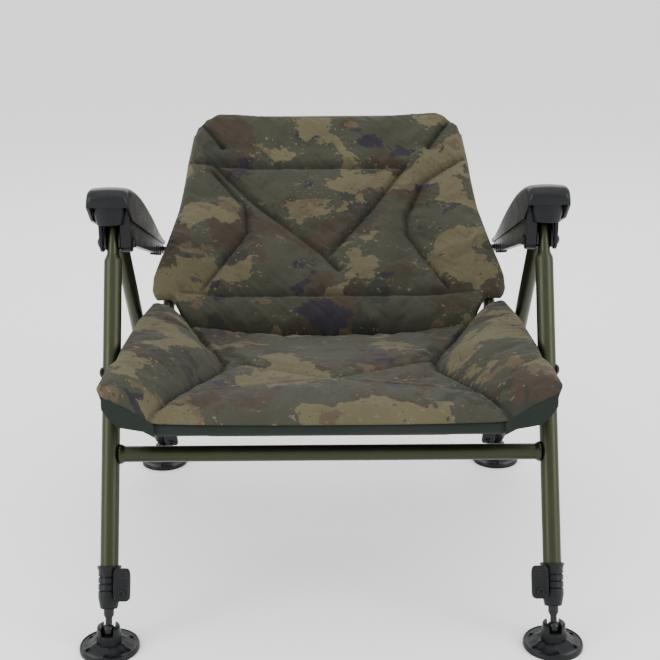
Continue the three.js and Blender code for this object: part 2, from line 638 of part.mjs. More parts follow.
function armrest(side) {
  const inward = -side;
  const top = armTopShares.map(armPoint);
  const low = armLowShares.map(armPoint);
  let body = plateX(new THREE.Shape([...top, ...low].reverse()), -armHalfWidth, armHalfWidth, armBevel);
  const hollow = top.slice(2, -2).map((p) => new THREE.Vector2(
    Math.min(Math.max(p.x, armWall - armNose), armLength - armNose - armWall * 3), p.y - armWall * 1.25));
  const last = hollow[hollow.length - 1];
  const first = hollow[0];
  const core = [...hollow, new THREE.Vector2(last.x, -armDrop), new THREE.Vector2(first.x, -armDrop)];
  const within = armHalfWidth - armWall;
  body = body.subtract(plateX(new THREE.Shape(core.reverse()), -within, within));

  const skinUnder = top.slice(3, -2).map((p) => new THREE.Vector2(p.x, p.y - armWall));
  const earTop = armCrest - armWall;
  const ear = beltShape([[0, 0, earRadius], [0, earTop - earRadius * 0.9, earRadius * 0.9]]);
  const spans = [[earInner, earInner + outerEarThickness], [-innerEarEdge, -earInner]];
  for (const [a, b] of spans) {
    const span = side > 0 ? [a, b] : [-b, -a];
    body = body.add(plateX(ear, span[0], span[1]));
  }

  const rackFront = pegPlace.x - notchPitch * (notchCount - 0.4);
  const rackEnd = pegPlace.x + notchPitch * 0.9;
  const rackSlope = -0.28;
  const rackLow = (y) => pegPlace.y - notchDepth + (y - pegPlace.x) * rackSlope;
  const rib = [
    new THREE.Vector2(0, skinUnder[0].y - armWall), ...skinUnder.slice(1, -1),
    new THREE.Vector2(rackEnd, armPoint([0.95, 0.93]).y), new THREE.Vector2(rackEnd, rackLow(rackEnd)),
    new THREE.Vector2(rackFront, rackLow(rackFront)), new THREE.Vector2(earRadius * 0.7, -earRadius * 0.5),
    new THREE.Vector2(0, 0),
  ];
  const ribA = inward * (armHalfWidth - armWall - ribThickness);
  const ribB = inward * innerEarEdge;
  let rail = plateX(new THREE.Shape(rib.reverse()), Math.min(ribA, ribB), Math.max(ribA, ribB));
  for (let i = 0; i < notchCount; i += 1) {
    const y = pegPlace.x - i * notchPitch;
    const z = rackLow(y) + notchDepth;
    const low = rackLow(y) - notchPitch * 0.4;
    const seatTop = z + pegRadius + clearance;
    const wide = pegRadius + clearance * 2;
    const drop = z - low;
    const notch = [[y - wide * 0.6, seatTop], [y + wide * 0.6, seatTop], [y + wide, z + wide * 0.3],
      [y + wide + drop * 0.2, low], [y - wide - drop * 0.9, low], [y - wide, z + wide * 0.3]];
    const cut = new THREE.Shape(notch.map(([a, b]) => new THREE.Vector2(a, b)).reverse());
    const grow = overrun * 2;
    rail = rail.subtract(plateX(cut, Math.min(ribA, ribB) - grow, Math.max(ribA, ribB) + grow));
  }
  body = body.add(rail);
  return body.subtract(rodX(boltRadius + clearance, -armHalfWidth - overrun, armHalfWidth + overrun));
}

for (const side of [-1, 1]) {
  const hand = side < 0 ? 'left' : 'right';
  piece(`armrest_${hand}`, armrest(side), 'blackPlastic', station(side * legX, frontTop));
}

// A padded form over a grid: u across, v along, with a rounded rim where the two faces meet
function paddedForm(columns, rows, face) {
  const vertices = [];
  const triangles = [];
  const index = [[], []];
  for (let layer = 0; layer < 2; layer += 1) {
    for (let j = 0; j <= rows; j += 1) {
      for (let i = 0; i <= columns; i += 1) {
        const rim = i === 0 || j === 0 || i === columns || j === rows;
        const key = j * (columns + 1) + i;
        if (layer && rim) {
          index[1][key] = index[0][key];
          continue;
        }
        index[layer][key] = vertices.length / 3;
        const p = face(i / columns, j / rows, rim ? 0.5 : layer);
        vertices.push(p.x, p.y, p.z);
      }
    }
  }
  for (let layer = 0; layer < 2; layer += 1) {
    for (let j = 0; j < rows; j += 1) {
      for (let i = 0; i < columns; i += 1) {
        const a = index[layer][j * (columns + 1) + i];
        const b = index[layer][j * (columns + 1) + i + 1];
        const c = index[layer][(j + 1) * (columns + 1) + i + 1];
        const d = index[layer][(j + 1) * (columns + 1) + i];
        if (layer) triangles.push(a, b, c, a, c, d);
        else triangles.push(a, c, b, a, d, c);
      }
    }
  }
  const geometry = new THREE.BufferGeometry();
  geometry.setAttribute('position', new THREE.BufferAttribute(new Float32Array(vertices), 3));
  geometry.setIndex(triangles);
  return geometry;
}

// How far a sewn channel pulls the face in, and how far the padding has filled out beside it
const channelDepth = 7;
const channelReach = 13;
const fillReach = 28;

function channel(distance) {
  return channelDepth * Math.exp(-((distance / channelReach) ** 2));
}

function filled(distance) {
  return 1 - Math.exp(-distance / fillReach);
}

function seamDistance(x, y, [x0, y0, x1, y1]) {
  const along = ((x - x0) * (x1 - x0) + (y - y0) * (y1 - y0)) / ((x1 - x0) ** 2 + (y1 - y0) ** 2);
  const t = THREE.MathUtils.clamp(along, 0, 1);
  return Math.hypot(x - x0 - t * (x1 - x0), y - y0 - t * (y1 - y0));
}

function spread(t, power) {
  const s = 2 * t - 1;
  return Math.sign(s) * (1 - (1 - Math.abs(s)) ** power);
}

function blend(t, low, high, from, to) {
  return THREE.MathUtils.lerp(low, high, THREE.MathUtils.smoothstep(t, from, to));
}

// Seat cushion: slung low in the middle, with a wing over each rail that climbs from its seam
const frontOverhang = 21.2;      // cushion outside the rails' centre lines, ahead of the legs
const rearOverhang = 3.2;
const seatHalfFront = railX + frontOverhang;
const seatHalfRear = railX + rearOverhang;
const seatCushionFront = -seatFrontReach - 8;
const seatCushionInset = 32;     // rear edge of the cushion ahead of the hinge pins
const seatCushionRear = hingeBack - seatCushionInset;
const seatSag = 47;              // middle of the sling below the top of the rails
const seatPadFront = 13;         // padding over the front bar
const seatPadThickness = 25;
const seatCrown = 5;
const wingWidths = [48.8, 122.8, 54.8]; // from rail to wing seam at the front, inner corners and rear
const [wingSeamFront, wingSeamMid, wingSeamRear] = wingWidths.map((width) => railX - width);
const wingSeamFore = 33;         // first inner corner behind the seat bolt
const wingSeamAft = 84;
const wingRimFront = 15;         // outer rim above the rails' centre line
const wingRimRear = 33;
const wingCrown = 14;
const wingTail = 58;             // length over which the wing's rear end falls
const wingTailFall = 12;
const thinShare = 0.6;           // of the front padding, where the cushion is thinnest
const climbWidths = [126.8, 36.8]; // from rail to where the sling starts and ends its climb
const [wingRoot, wingShoulder] = climbWidths.map((width) => railX - width);
const restUp = frameTubeRadius + clearance * 2;
const frontDeep = frameTubeRadius + clearance * 2 - frontBarDip;
const slingForward = frameTubeRadius - seatFrontReach;
const slingLevel = -seatFrontReach * 0.4;

function seatLow(x, y) {
  const deep = blend(y, frontDeep, restUp - seatSag, slingForward, slingLevel);
  return blend(Math.abs(x), deep, restUp, wingRoot, wingShoulder);
}

function wingSeam(y) {
  const { lerp, clamp } = THREE.MathUtils;
  const fore = clamp((y - seatCushionFront) / (wingSeamFore - seatCushionFront), 0, 1);
  const aft = clamp((y - wingSeamAft) / (seatCushionRear - wingSeamAft), 0, 1);
  return aft > 0 ? lerp(wingSeamMid, wingSeamRear, aft) : lerp(wingSeamFront, wingSeamMid, fore);
}

const wingSeams = [
  [wingSeamFront, seatCushionFront, wingSeamMid, wingSeamFore],
  [wingSeamMid, wingSeamFore, wingSeamMid, wingSeamAft],
  [wingSeamMid, wingSeamAft, wingSeamRear, seatCushionRear],
];

function seatFace(u, v, layer) {
  const across = spread(u, 1.4);
  const along = (spread(v, 1.4) + 1) / 2;
  const y = THREE.MathUtils.lerp(seatCushionFront, seatCushionRear, along);
  const half = blend(y, seatHalfFront, seatHalfRear, -seatFrontReach * 0.6, -seatFrontReach * 0.1);
  const x = across * half;
  const pad = blend(y, seatPadFront, seatPadThickness, slingForward, slingLevel);
  const middle = blend(y, frontDeep, restUp - seatSag, slingForward, slingLevel) + pad;
  const rim = blend(y, wingRimFront, wingRimRear, seatCushionFront, 0);
  const wing = THREE.MathUtils.clamp((Math.abs(x) - wingSeam(y)) / (half - wingSeam(y)), 0, 1);
  const distance = Math.min(...wingSeams.map((seam) => seamDistance(Math.abs(x), y, seam)));
  const crown = wing > 0 ? wingCrown * (1 - wing ** 4) : seatCrown;
  const tail = THREE.MathUtils.smoothstep(y, seatCushionRear - wingTail, seatCushionRear);
  const edge = THREE.MathUtils.smoothstep(y, seatCushionFront, slingForward) * (1 - tail);
  const low = seatLow(x, y);
  const face = THREE.MathUtils.lerp(middle, rim - wingTailFall * tail, wing);
  const high = face + (crown * filled(distance) - channel(distance)) * edge;
  const top = Math.max(high, low + seatPadFront * thinShare);
  return new THREE.Vector3(x, y, THREE.MathUtils.lerp(low, top, layer));
}

piece('seat_cushion', paddedForm(26, 16, seatFace), 'cushionCloth', seat);

// Seat sling: the cloth under the cushion, hung between the rails and sleeved over the front bar
const slingThickness = 3;
const slingGap = 2.6;            // room between the curved cloth and the cushion
const slingHalf = railX - frameTubeRadius - clearance * 2 - boltHeadHeight;

function slingFace(u, v, layer) {
  const x = (2 * u - 1) * slingHalf;
  const y = THREE.MathUtils.lerp(slingForward + clearance, seatCushionRear - rearBarDrop, v);
  const rise = blend(Math.abs(x), 0, restUp, wingRoot, wingShoulder);
  return new THREE.Vector3(x, y, seatLow(x, y) - rise - slingGap - slingThickness * (1 - layer));
}

piece('seat_sling', paddedForm(16, 6, slingFace), 'slingCloth', seat);

// Back cushion: slung between the sides of the back frame, with sewn panels, a headrest roll across the
// top and a lower roll that curls back over the seat's rear edge
const lowOverhang = 26.2;        // cushion outside the tubes' centre lines, at the bottom
const kinkOverhang = 9;
const topOverhang = 8;
const backHalfLow = backTubeX + lowOverhang;
const backHalfKink = backKinkX + kinkOverhang;
const backHalfTop = backTopX + topOverhang;
const backCushionLow = -24;      // bottom edge against the hinge, up the back
const backCornerLow = 13;        // bottom corners, clear of the hinge plates and the seat's wings
const cornerShares = [0.62, 0.82]; // of the half width, where the bottom edge climbs to the corners
const backCushionTop = backTop + overrun / 2;
const backSag = 22;
const backMiddleFace = 17;       // face of the padding ahead of the tubes' centre line, in the middle
const backSideFace = 36;         // and over the side tubes
const backCornerFace = 19;       // over the side tubes at the lower corners, clear of the folded seat
const backCornerRise = 74;       // up the back to where the sides have their full padding
const backCrown = 9;
const headCrown = 6;
const topChamfer = 58;
const curlStart = 22;            // where the lower roll starts to curl back
const curlDepth = 30;
const headSeamShare = 0.81;      // of the back's height, from the hinge
const bandSeamShare = 0.726;
const rollSeamShare = 0.064;
const backSeams = [
  [-0.96, 0.919, -0.806, headSeamShare], [0.941, 0.938, 0.775, headSeamShare],
  [-0.869, headSeamShare, 0.775, headSeamShare], [-1.072, 0.741, -0.869, bandSeamShare],
  [-0.869, bandSeamShare, 0.595, bandSeamShare], [-0.86, 0.721, -0.041, 0.272],
  [-0.041, 0.272, 0.072, 0.188], [0.586, bandSeamShare, -0.009, 0.257], [-0.86, 0.681, -0.617, 0.521],
  [-0.617, 0.521, -0.608, 0.39], [-0.608, 0.39, -0.914, 0.074], [1.032, 0.748, 0.712, 0.64],
  [0.712, 0.64, 0.581, 0.469], [0.581, 0.469, 0.581, 0.373], [0.581, 0.373, 0.869, 0.074],
  [-1.045, rollSeamShare, 1.018, rollSeamShare],
].map(([x0, up0, x1, up1]) => [x0 * backTopX, up0 * backTop, x1 * backTopX, up1 * backTop]);

function backFace(u, v, layer) {
  const across = spread(u, 1.4);
  const along = (spread(v, 1.3) + 1) / 2;
  const bottom = blend(Math.abs(across), backCushionLow, backCornerLow, ...cornerShares);
  const up = THREE.MathUtils.lerp(bottom, backCushionTop, along);
  const half = up < backLowerLength
    ? THREE.MathUtils.lerp(backHalfLow, backHalfKink, Math.max(up, 0) / backLowerLength)
    : THREE.MathUtils.lerp(backHalfKink, backHalfTop, (up - backLowerLength) / backUpperLength);
  const toTop = Math.max(up - (backCushionTop - topChamfer), 0) / topChamfer;
  const x = across * (half - topChamfer * (1 - Math.sqrt(1 - (toTop * 0.97) ** 2)));
  const side = THREE.MathUtils.smoothstep(Math.abs(x), backTopX * 0.5, backTopX - frameTubeRadius);
  const headFrom = headSeamShare * backTop - channelReach;
  const head = THREE.MathUtils.smoothstep(up, headFrom, backTop - backTopBend * 0.4);
  const curled = THREE.MathUtils.clamp((curlStart - up) / (curlStart - backCushionLow), 0, 1);
  const curl = curlDepth * curled ** 1.6;
  const low = THREE.MathUtils.lerp(restUp - backSag * (1 - head), restUp, side);
  const distance = Math.min(...backSeams.map((seam) => seamDistance(x, up, seam)));
  const swell = backCrown * filled(distance) + headCrown * head - channel(distance);
  const sideFace = blend(up, backCornerFace, backSideFace, backCornerLow, backCornerRise);
  const high = THREE.MathUtils.lerp(backMiddleFace, sideFace, side) + swell;
  return backPoint(x, up, THREE.MathUtils.lerp(low, high, layer) - curl * (1 - side));
}

piece('back_cushion', paddedForm(24, 18, backFace), 'cushionCloth', back);

// The finished chair, centred on its footprint
const model = new THREE.Group();
chair.updateMatrixWorld(true);
const bounds = new THREE.Box3().setFromObject(chair, true);
const centre = bounds.getCenter(new THREE.Vector3());
chair.position.set(-centre.x, -centre.y, -bounds.min.z);
model.add(chair);
model.updateMatrixWorld(true);

export default model;
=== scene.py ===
import bmesh
import bpy
import numpy as np
from mathutils import Matrix


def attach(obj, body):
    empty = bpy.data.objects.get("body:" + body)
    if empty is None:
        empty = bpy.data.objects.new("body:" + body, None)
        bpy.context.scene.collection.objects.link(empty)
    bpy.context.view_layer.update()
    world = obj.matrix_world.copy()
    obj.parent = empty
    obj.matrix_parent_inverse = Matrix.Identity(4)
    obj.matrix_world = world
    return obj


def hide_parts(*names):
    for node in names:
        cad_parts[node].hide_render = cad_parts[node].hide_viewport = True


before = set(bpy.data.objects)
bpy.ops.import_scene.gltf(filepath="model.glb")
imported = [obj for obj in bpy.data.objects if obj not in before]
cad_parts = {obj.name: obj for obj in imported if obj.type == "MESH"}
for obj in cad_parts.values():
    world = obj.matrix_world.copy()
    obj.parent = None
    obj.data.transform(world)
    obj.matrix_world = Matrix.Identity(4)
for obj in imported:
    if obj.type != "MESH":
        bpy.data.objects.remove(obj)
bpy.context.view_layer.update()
mm = 0.001

# Camera: low in front of the chair and looking down on it by 18 degrees, with a hair of roll, through
# a lens of about 68 mm.
camera = bpy.data.objects.new("camera", bpy.data.cameras.new("camera"))
camera.data.sensor_width = 36
camera.data.lens = 68.18
camera.data.shift_x = 0.0013
camera.matrix_world = (Matrix.Translation((0, -1.8142, 0.940))
                       @ Matrix.Rotation(np.radians(71.67), 4, "X")
                       @ Matrix.Rotation(np.radians(-0.4), 4, "Z"))
bpy.context.scene.collection.objects.link(camera)
bpy.context.scene.camera = camera


# Studio: a wide pale floor under a soft white sky, with a large soft box over each shoulder, one
# overhead and one behind, so that every tube gets a pale streak down each side.
def stretch(name, points):
    """A mesh with one face for each four neighbours of a grid of points (rows, columns, 3)."""
    rows, columns = points.shape[:2]
    a = (np.arange(rows - 1)[:, None] * columns + np.arange(columns - 1)).ravel()
    faces = np.stack([a, a + 1, a + columns + 1, a + columns], -1)
    mesh = bpy.data.meshes.new(name)
    mesh.from_pydata(points.reshape(-1, 3).tolist(), [], faces.tolist())
    obj = bpy.data.objects.new(name, mesh)
    bpy.context.scene.collection.objects.link(obj)
    return obj


def node(tree, kind, values=(), **settings):
    """A shader node whose inputs, by place or by name, are set to values or linked to sockets."""
    made = tree.nodes.new("ShaderNode" + kind)
    for key, value in settings.items():
        setattr(made, key, value)
    for key, value in (values.items() if isinstance(values, dict) else enumerate(values)):
        if isinstance(value, bpy.types.NodeSocket):
            tree.links.new(value, made.inputs[key])
        elif value is not None:
            made.inputs[key].default_value = value
    return made


def finish(name, colour, roughness, **sockets):
    """A material with one Principled shader: the material, its node tree, the shader and the place."""
    material = bpy.data.materials.new(name)
    material.use_nodes = True
    tree = material.node_tree
    shader = tree.nodes["Principled BSDF"]
    shader.inputs["Base Color"].default_value = (*colour, 1)
    shader.inputs["Roughness"].default_value = roughness
    for key, value in sockets.items():
        shader.inputs[key.replace("_", " ")].default_value = value
    return material, tree, shader, node(tree, "TexCoord").outputs["Object"]


def wire(tree, shader, **sockets):
    """Links each socket to the shader's input of that name."""
    for key, socket in sockets.items():
        tree.links.new(socket, shader.inputs[key.replace("_", " ")])


def mottled(tree, vector, scale, detail, rough=0.5):
    """A noise from 0 to 1 at the place, of that scale and that many layers of detail."""
    values = {"Vector": vector, "Scale": scale, "Detail": detail, "Roughness": rough}
    return node(tree, "TexNoise", values).outputs["Fac"]


def ramp(tree, value, low, high, start, end):
    """The value carried in a straight line from low..high to start..end, and held beyond them."""
    return node(tree, "MapRange", [value, low, high, start, end]).outputs[0]


def mixed(tree, amount, under, over):
    """The colour under, with that amount of the colour over it."""
    return node(tree, "MixRGB", [amount, under, over]).outputs[0]


def emboss(tree, shader, *layers):
    """Bump on the shader, in layers of strength, depth in metres and height, the coarsest first."""
    under = None
    for strength, depth, height in layers:
        values = {"Strength": strength, "Distance": depth, "Height": height, "Normal": under}
        under = node(tree, "Bump", values).outputs[0]
    wire(tree, shader, Normal=under)


floor_finish, tree, shader, place = finish("pale_floor", (0.9, 0.9, 0.89), 0.7)
mottle = mottled(tree, place, 3.0, 4.0)
mottle = ramp(tree, mottle, 0.3, 0.7, 0.68, 0.74)
wire(tree, shader, Roughness=mottle)
width = np.linspace(-20, 20, 9)
floor = stretch("floor", np.stack(np.broadcast_arrays(width[None, :], width[:, None], 0.0), -1))
floor.data.materials.append(floor_finish)

sky = bpy.data.worlds.new("studio")
sky.use_nodes = True
sky.node_tree.nodes["Background"].inputs[0].default_value = (1, 1, 1, 1)
sky.node_tree.nodes["Background"].inputs[1].default_value = 1.62
bpy.context.scene.world = sky
for name, spot, tilt, size, power in (
    ("left_box", (-2.4, -1.6, 1.6), (68, 0, -56), (1.2, 2.2), 58),
    ("right_box", (2.4, -1.4, 1.6), (68, 0, 60), (1.2, 2.2), 51),
    ("top_box", (0, -0.5, 2.8), (8, 0, 0), (2.4, 1.8), 18),
    ("back_box", (0, 2.6, 2.2), (-58, 0, 0), (3.0, 1.2), 26),
):
    lamp = bpy.data.lights.new(name, "AREA")
    lamp.shape = "RECTANGLE"
    lamp.size, lamp.size_y = size
    lamp.energy = power
    box = bpy.data.objects.new(name, lamp)
    box.location = spot
    box.rotation_euler = np.radians(tilt)
    bpy.context.scene.collection.objects.link(box)

# Front legs: 25 mm steel tube in satin olive paint, pressed to a flat neck at the top, where the bolt
# of the armrest and the rivet of the hinge plates pass through.
olive, tree, shader, place = finish("olive_paint", (0.026, 0.029, 0.013), 0.34, Metallic=0.8,
                                    Coat_Weight=0.08, Coat_Roughness=0.3)
grain = mottled(tree, place, 900.0, 2.0)
patch = mottled(tree, place, 26.0, 5.0)
scuff = mottled(tree, place, 190.0, 6.0, 0.75)
worn = ramp(tree, scuff, 0.7, 0.76, 0.0, 0.5)
shade = mixed(tree, patch, (0.021, 0.0235, 0.0105, 1), (0.03, 0.033, 0.016, 1))
shade = mixed(tree, worn, shade, (0.05, 0.052, 0.034, 1))
wire(tree, shader, Base_Color=shade)
wire(tree, shader, Roughness=ramp(tree, patch, 0.3, 0.7, 0.33, 0.47))
emboss(tree, shader, (0.25, 0.0002, grain))


def surface(name, points, material, sharp=40, closed=True):
    """A smooth mesh over a grid (rows, columns, 3) whose columns close on themselves. Points that fall
    together are joined, so a row drawn in to one point closes an end, and the faces turn outward."""
    if closed:
        points = np.concatenate([points, points[:, :1]], 1)
    obj = stretch(name, np.asarray(points, float))
    work = bmesh.new()
    work.from_mesh(obj.data)
    bmesh.ops.remove_doubles(work, verts=work.verts, dist=1e-6)
    bmesh.ops.recalc_face_normals(work, faces=work.faces)
    work.to_mesh(obj.data)
    work.free()
    obj.data.shade_smooth()
    obj.data.set_sharp_from_angle(angle=np.radians(sharp))
    obj.data.materials.append(material)
    return obj


def pipe(name, path, radius, side, material, columns=36, sharp=40):
    """A tube along a path. At each station a ring stands square to the path: its first half-axis is
    square to the path and to side, its second to both, and the two ends are drawn in to points."""
    path = np.asarray(path, float)
    if np.ndim(radius):
        radius = np.asarray(radius, float).reshape(len(path), -1)
    radius = np.broadcast_to(radius, (len(path), 2))
    along = np.gradient(path, axis=0)
    along /= np.linalg.norm(along, axis=1, keepdims=True)
    first = np.cross(along, side)
    first /= np.linalg.norm(first, axis=1, keepdims=True)
    second = np.cross(first, along)
    turn = np.linspace(0, 2 * np.pi, columns, endpoint=False)
    rings = (path[:, None] + radius[:, :1, None] * np.cos(turn)[:, None] * first[:, None]
             + radius[:, 1:, None] * np.sin(turn)[:, None] * second[:, None])
    ends = [np.repeat(path[[i], None], columns, 1) for i in (0, -1)]
    return surface(name, np.concatenate([ends[0], rings, ends[1]]), material, sharp)


def fit(obj, body, slot, *nodes):
    """Lets a finished piece ride on its body and stand for its CAD nodes. The slot is not used."""
    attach(obj, body)
    if nodes:
        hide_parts(*nodes)
    return obj


def ease(t, low, high):
    """Smooth step: 0 below low, 1 above high, and 3t^2 - 2t^3 in between."""
    t = np.clip((t - low) / (high - low), 0, 1)
    return t * t * (3 - 2 * t)


# A leg's own axes: across the chair, out of the leg's face, and up the leg from the ball of its foot
leg_x = 300.0
LEGS = {
    "front": {"ball": (-341.06, 28.0), "up": (0.4152, 0.9097), "body": "frame"},
    "rear": {"ball": (268.94, 28.0), "up": (-0.5787, 0.8156), "body": "rear_legs"},
}
STANDS = [(leg, side) for leg in LEGS for side in (-1, 1)]


def on_leg(leg, side, across, out, up):
    """A place on a leg, from millimetres across towards the middle, out of its face and up it."""
    (y, z), (uy, uz) = LEGS[leg]["ball"], LEGS[leg]["up"]
    across, out, up = np.broadcast_arrays(across, out, up)
    return mm * np.stack([side * (leg_x - across), y + up * uy - out * uz, z + up * uz + out * uy], -1)


def hand(side):
    """The side's name, seen by someone who looks at the chair from the front."""
    return "left" if side < 0 else "right"


tube_foot, head_radius = 48, 11.0
front_radius, front_neck, front_head = 12.5, 502, 547.8
for side in (-1, 1):
    up = np.concatenate([np.linspace(tube_foot, 500, 40), np.linspace(front_neck, 516, 12),
                         np.linspace(520, 547, 8),
                         front_head + head_radius * np.sin(np.linspace(0.1, np.pi / 2 - 0.02, 10))])
    neck = ease(up, front_neck, front_neck + 13)
    cap = np.sqrt(np.clip(head_radius ** 2 - (up - front_head) ** 2, 0.01, None))
    deep = np.where(up > front_head, cap, front_radius - 1.5 * neck)
    wide = front_radius - 4.1 * neck
    tube = pipe(f"front_tube_{hand(side)}", on_leg("front", side, 0, 0, up),
                mm * np.stack([deep, wide], -1), (1, 0, 0), olive, 44)
    fit(tube, "frame", "olive_paint", f"front_leg_{hand(side)}")

# Rear legs: thinner tube of the same steel and paint, flattened at the top between the two hinge
# plates, where one pin holds each.
rear_radius, rear_neck, rear_head = 11, 562, 591
for side in (-1, 1):
    up = np.concatenate([np.linspace(tube_foot, 560, 40), np.linspace(563, 578, 12),
                         rear_head + head_radius * np.sin(np.linspace(-0.8, np.pi / 2 - 0.02, 14))])
    neck = ease(up, rear_neck, rear_neck + 14)
    cap = np.sqrt(np.clip(head_radius ** 2 - (up - rear_head) ** 2, 0.01, None))
    deep = np.where(up > rear_head, cap, rear_radius)
    tube = pipe(f"rear_tube_{hand(side)}", on_leg("rear", side, 0, 0, up),
                mm * np.stack([deep, rear_radius - 2.6 * neck], -1), (1, 0, 0), olive, 40)
    fit(tube, "rear_legs", "olive_paint", f"rear_leg_{hand(side)}")

# Cross bars: a tube welded between the two legs of each pair, with a rippled weld bead at each end.
for leg, level, radius, reach in (("front", 236, 11.0, 287.2), ("rear", 104, 9.0, 288.7)):
    x = reach * np.sin(np.linspace(-np.pi / 2, np.pi / 2, 181))
    turn = np.linspace(0, 2 * np.pi, 72, endpoint=False)
    near = ease(np.abs(x), reach - 7.5, reach - 1.5)[:, None]
    ripple = 0.35 * np.cos(turn * 17 + np.abs(x[:, None]) * 0.9)
    grow = radius + near * (2.4 + ripple)
    rings = on_leg(leg, 1, leg_x - x[:, None], grow * np.sin(turn), level + grow * np.cos(turn))
    caps = [np.repeat(on_leg(leg, 1, leg_x - x[[i], None], 0, level), len(turn), 1) for i in (0, -1)]
    bar = surface(f"{leg}_cross_bar", np.concatenate([caps[0], rings, caps[1]]), olive)
    fit(bar, LEGS[leg]["body"], "olive_paint", f"{leg}_crossbar")

# Lock collars: a black moulded clamp round the foot of each tube, with three grooves, a flared lip and
# a pair of lugs on the inner side that a bolt draws together.
black, tree, shader, place = finish("black_plastic", (0.006, 0.0066, 0.0072), 0.35, Specular_IOR_Level=0.19)
pebble = node(tree, "TexVoronoi", {"Vector": place, "Scale": 1300.0}).outputs["Distance"]
wisp = mottled(tree, place, 60.0, 6.0, 0.7)
dust = ramp(tree, wisp, 0.55, 0.8, 0.0, 0.5)
shade = mixed(tree, dust, (0.0045, 0.0052, 0.006, 1), (0.011, 0.0125, 0.0145, 1))
wire(tree, shader, Base_Color=shade)
wire(tree, shader, Roughness=ramp(tree, wisp, 0.3, 0.75, 0.26, 0.42))
emboss(tree, shader, (0.35, 0.00015, pebble))

clamp_in, clamp_up = 20, 49.5
collar_line = np.array([
    [7.4, 28.6], [11.0, 28.6], [11.9, 29.6], [13.2, 36.0], [14.6, 43.5], [14.7, 51.0], [14.7, 51.8],
    [13.2, 52.5], [13.2, 53.1], [14.7, 53.8], [14.7, 60.2], [14.7, 61.0], [13.2, 61.7], [13.2, 62.3],
    [14.7, 63.0], [14.7, 69.2], [14.7, 70.0], [13.2, 70.7], [13.2, 71.3], [14.7, 72.0], [14.7, 78.6],
    [15.6, 81.6], [16.3, 83.2], [16.4, 85.0], [15.9, 85.8], [12.8, 85.8]])


def rounded_block(name, centre, half, squareness, material, where, columns=48):
    """A block with soft edges: a ball whose sines and cosines are raised to a small power."""
    lat = np.linspace(-np.pi / 2, np.pi / 2, columns // 2)[:, None]
    lon = np.linspace(0, 2 * np.pi, columns, endpoint=False)[None, :]

    def power(v):
        return np.sign(v) * np.abs(v) ** squareness

    return surface(name, where(centre[0] + half[0] * power(np.cos(lat)) * power(np.cos(lon)),
                               centre[1] + half[1] * power(np.cos(lat)) * power(np.sin(lon)),
                               centre[2] + half[2] * power(np.sin(lat)) * np.ones_like(lon)), material)


for leg, side in STANDS:
    turn = np.linspace(0, 2 * np.pi, 64, endpoint=False)
    line = np.concatenate([collar_line, collar_line[:1]])
    shrink = 1.0 if leg == "front" else 0.96
    points = on_leg(leg, side, shrink * line[:, :1] * np.cos(turn), shrink * line[:, :1] * np.sin(turn),
                    line[:, 1:])
    barrel = surface(f"{leg}_collar_{hand(side)}", points, black, 30)
    fit(barrel, LEGS[leg]["body"], "black_plastic", f"{leg}_lock_collar_{hand(side)}")
    for half_name, out in (("fore", 7.6), ("aft", -7.6)):
        lug = rounded_block(f"{leg}_collar_lug_{half_name}_{hand(side)}", (19, out, clamp_up), (8, 6.4, 11),
                            0.28, black, lambda a, o, u: on_leg(leg, side, a, o, u))
        fit(lug, LEGS[leg]["body"], "black_plastic")

# Lock levers: a dished black plate on the front of each clamp, ribbed at its free end for the finger,
# turning on the clamp's bolt.
for leg, side in STANDS:
    turn = np.linspace(0, 2 * np.pi, 96, endpoint=False)[None, :]
    ring = np.concatenate([np.linspace(0.02, 0.86, 22), [0.92, 0.97, 1.0, 1.0, 0.97, 0.9, 0.5, 0.02]])
    face = np.concatenate([np.ones(22), [0.97, 0.86, 0.6, 0.3, 0.08, 0.0, 0.0, 0.0]])
    ring, face = ring[:, None], face[:, None]
    box = (np.abs(np.cos(turn)) ** 5 + np.abs(np.sin(turn)) ** 5) ** -0.2
    across = clamp_in + 11.5 * ring * box * np.cos(turn)
    up = 61.5 + 22 * ring * box * np.sin(turn)
    dish = 1.5 * (1 - np.clip(ring * box / 1.1, 0, 1) ** 3) * (face > 0.99)
    ribs = 0.5 * np.cos((up - 70) * 2 * np.pi / 3.4) * ease(up, 68, 70) * (1 - ease(up, 79, 81))
    ribs = ribs * (face > 0.99)
    out = 14.4 + face * 6.6 - dish + ribs * (ring < 0.8)
    lever = surface(f"{leg}_lever_{hand(side)}", on_leg(leg, side, across, out, up), black, 50)
    fit(lever, f"lever_{leg}_{hand(side)}", "black_plastic", f"{leg}_lock_lever_{hand(side)}")

# Lock bolts: a blackened socket-head screw through lever and lugs, with a nut behind.
dark, tree, shader, place = finish("dark_steel", (0.02, 0.021, 0.022), 0.34, Metallic=0.9)
smear = mottled(tree, place, 240.0, 5.0)
wire(tree, shader, Roughness=ramp(tree, smear, 0.3, 0.7, 0.24, 0.44))
shade = mixed(tree, smear, (0.015, 0.016, 0.017, 1), (0.032, 0.033, 0.033, 1))
wire(tree, shader, Base_Color=shade)
emboss(tree, shader, (0.15, 0.0001, smear))


def turned(name, line, where, material, columns=32, sides=0):
    """A shape turned on a lathe: each point of the line is a radius and a height, and where() maps its
    circle, as two sideways lengths and the height, to its place. With sides it is a nut's outline."""
    line = np.asarray(line, float)
    turn = np.linspace(0, 2 * np.pi, columns, endpoint=False)
    flat = 1.0
    if sides:
        wedge = 2 * np.pi / sides
        flat = np.cos(wedge / 2) / np.cos((turn % wedge) - wedge / 2)
    return surface(name, where(line[:, :1] * flat * np.cos(turn), line[:, :1] * flat * np.sin(turn),
                               line[:, 1:] * np.ones_like(turn)), material, 35)


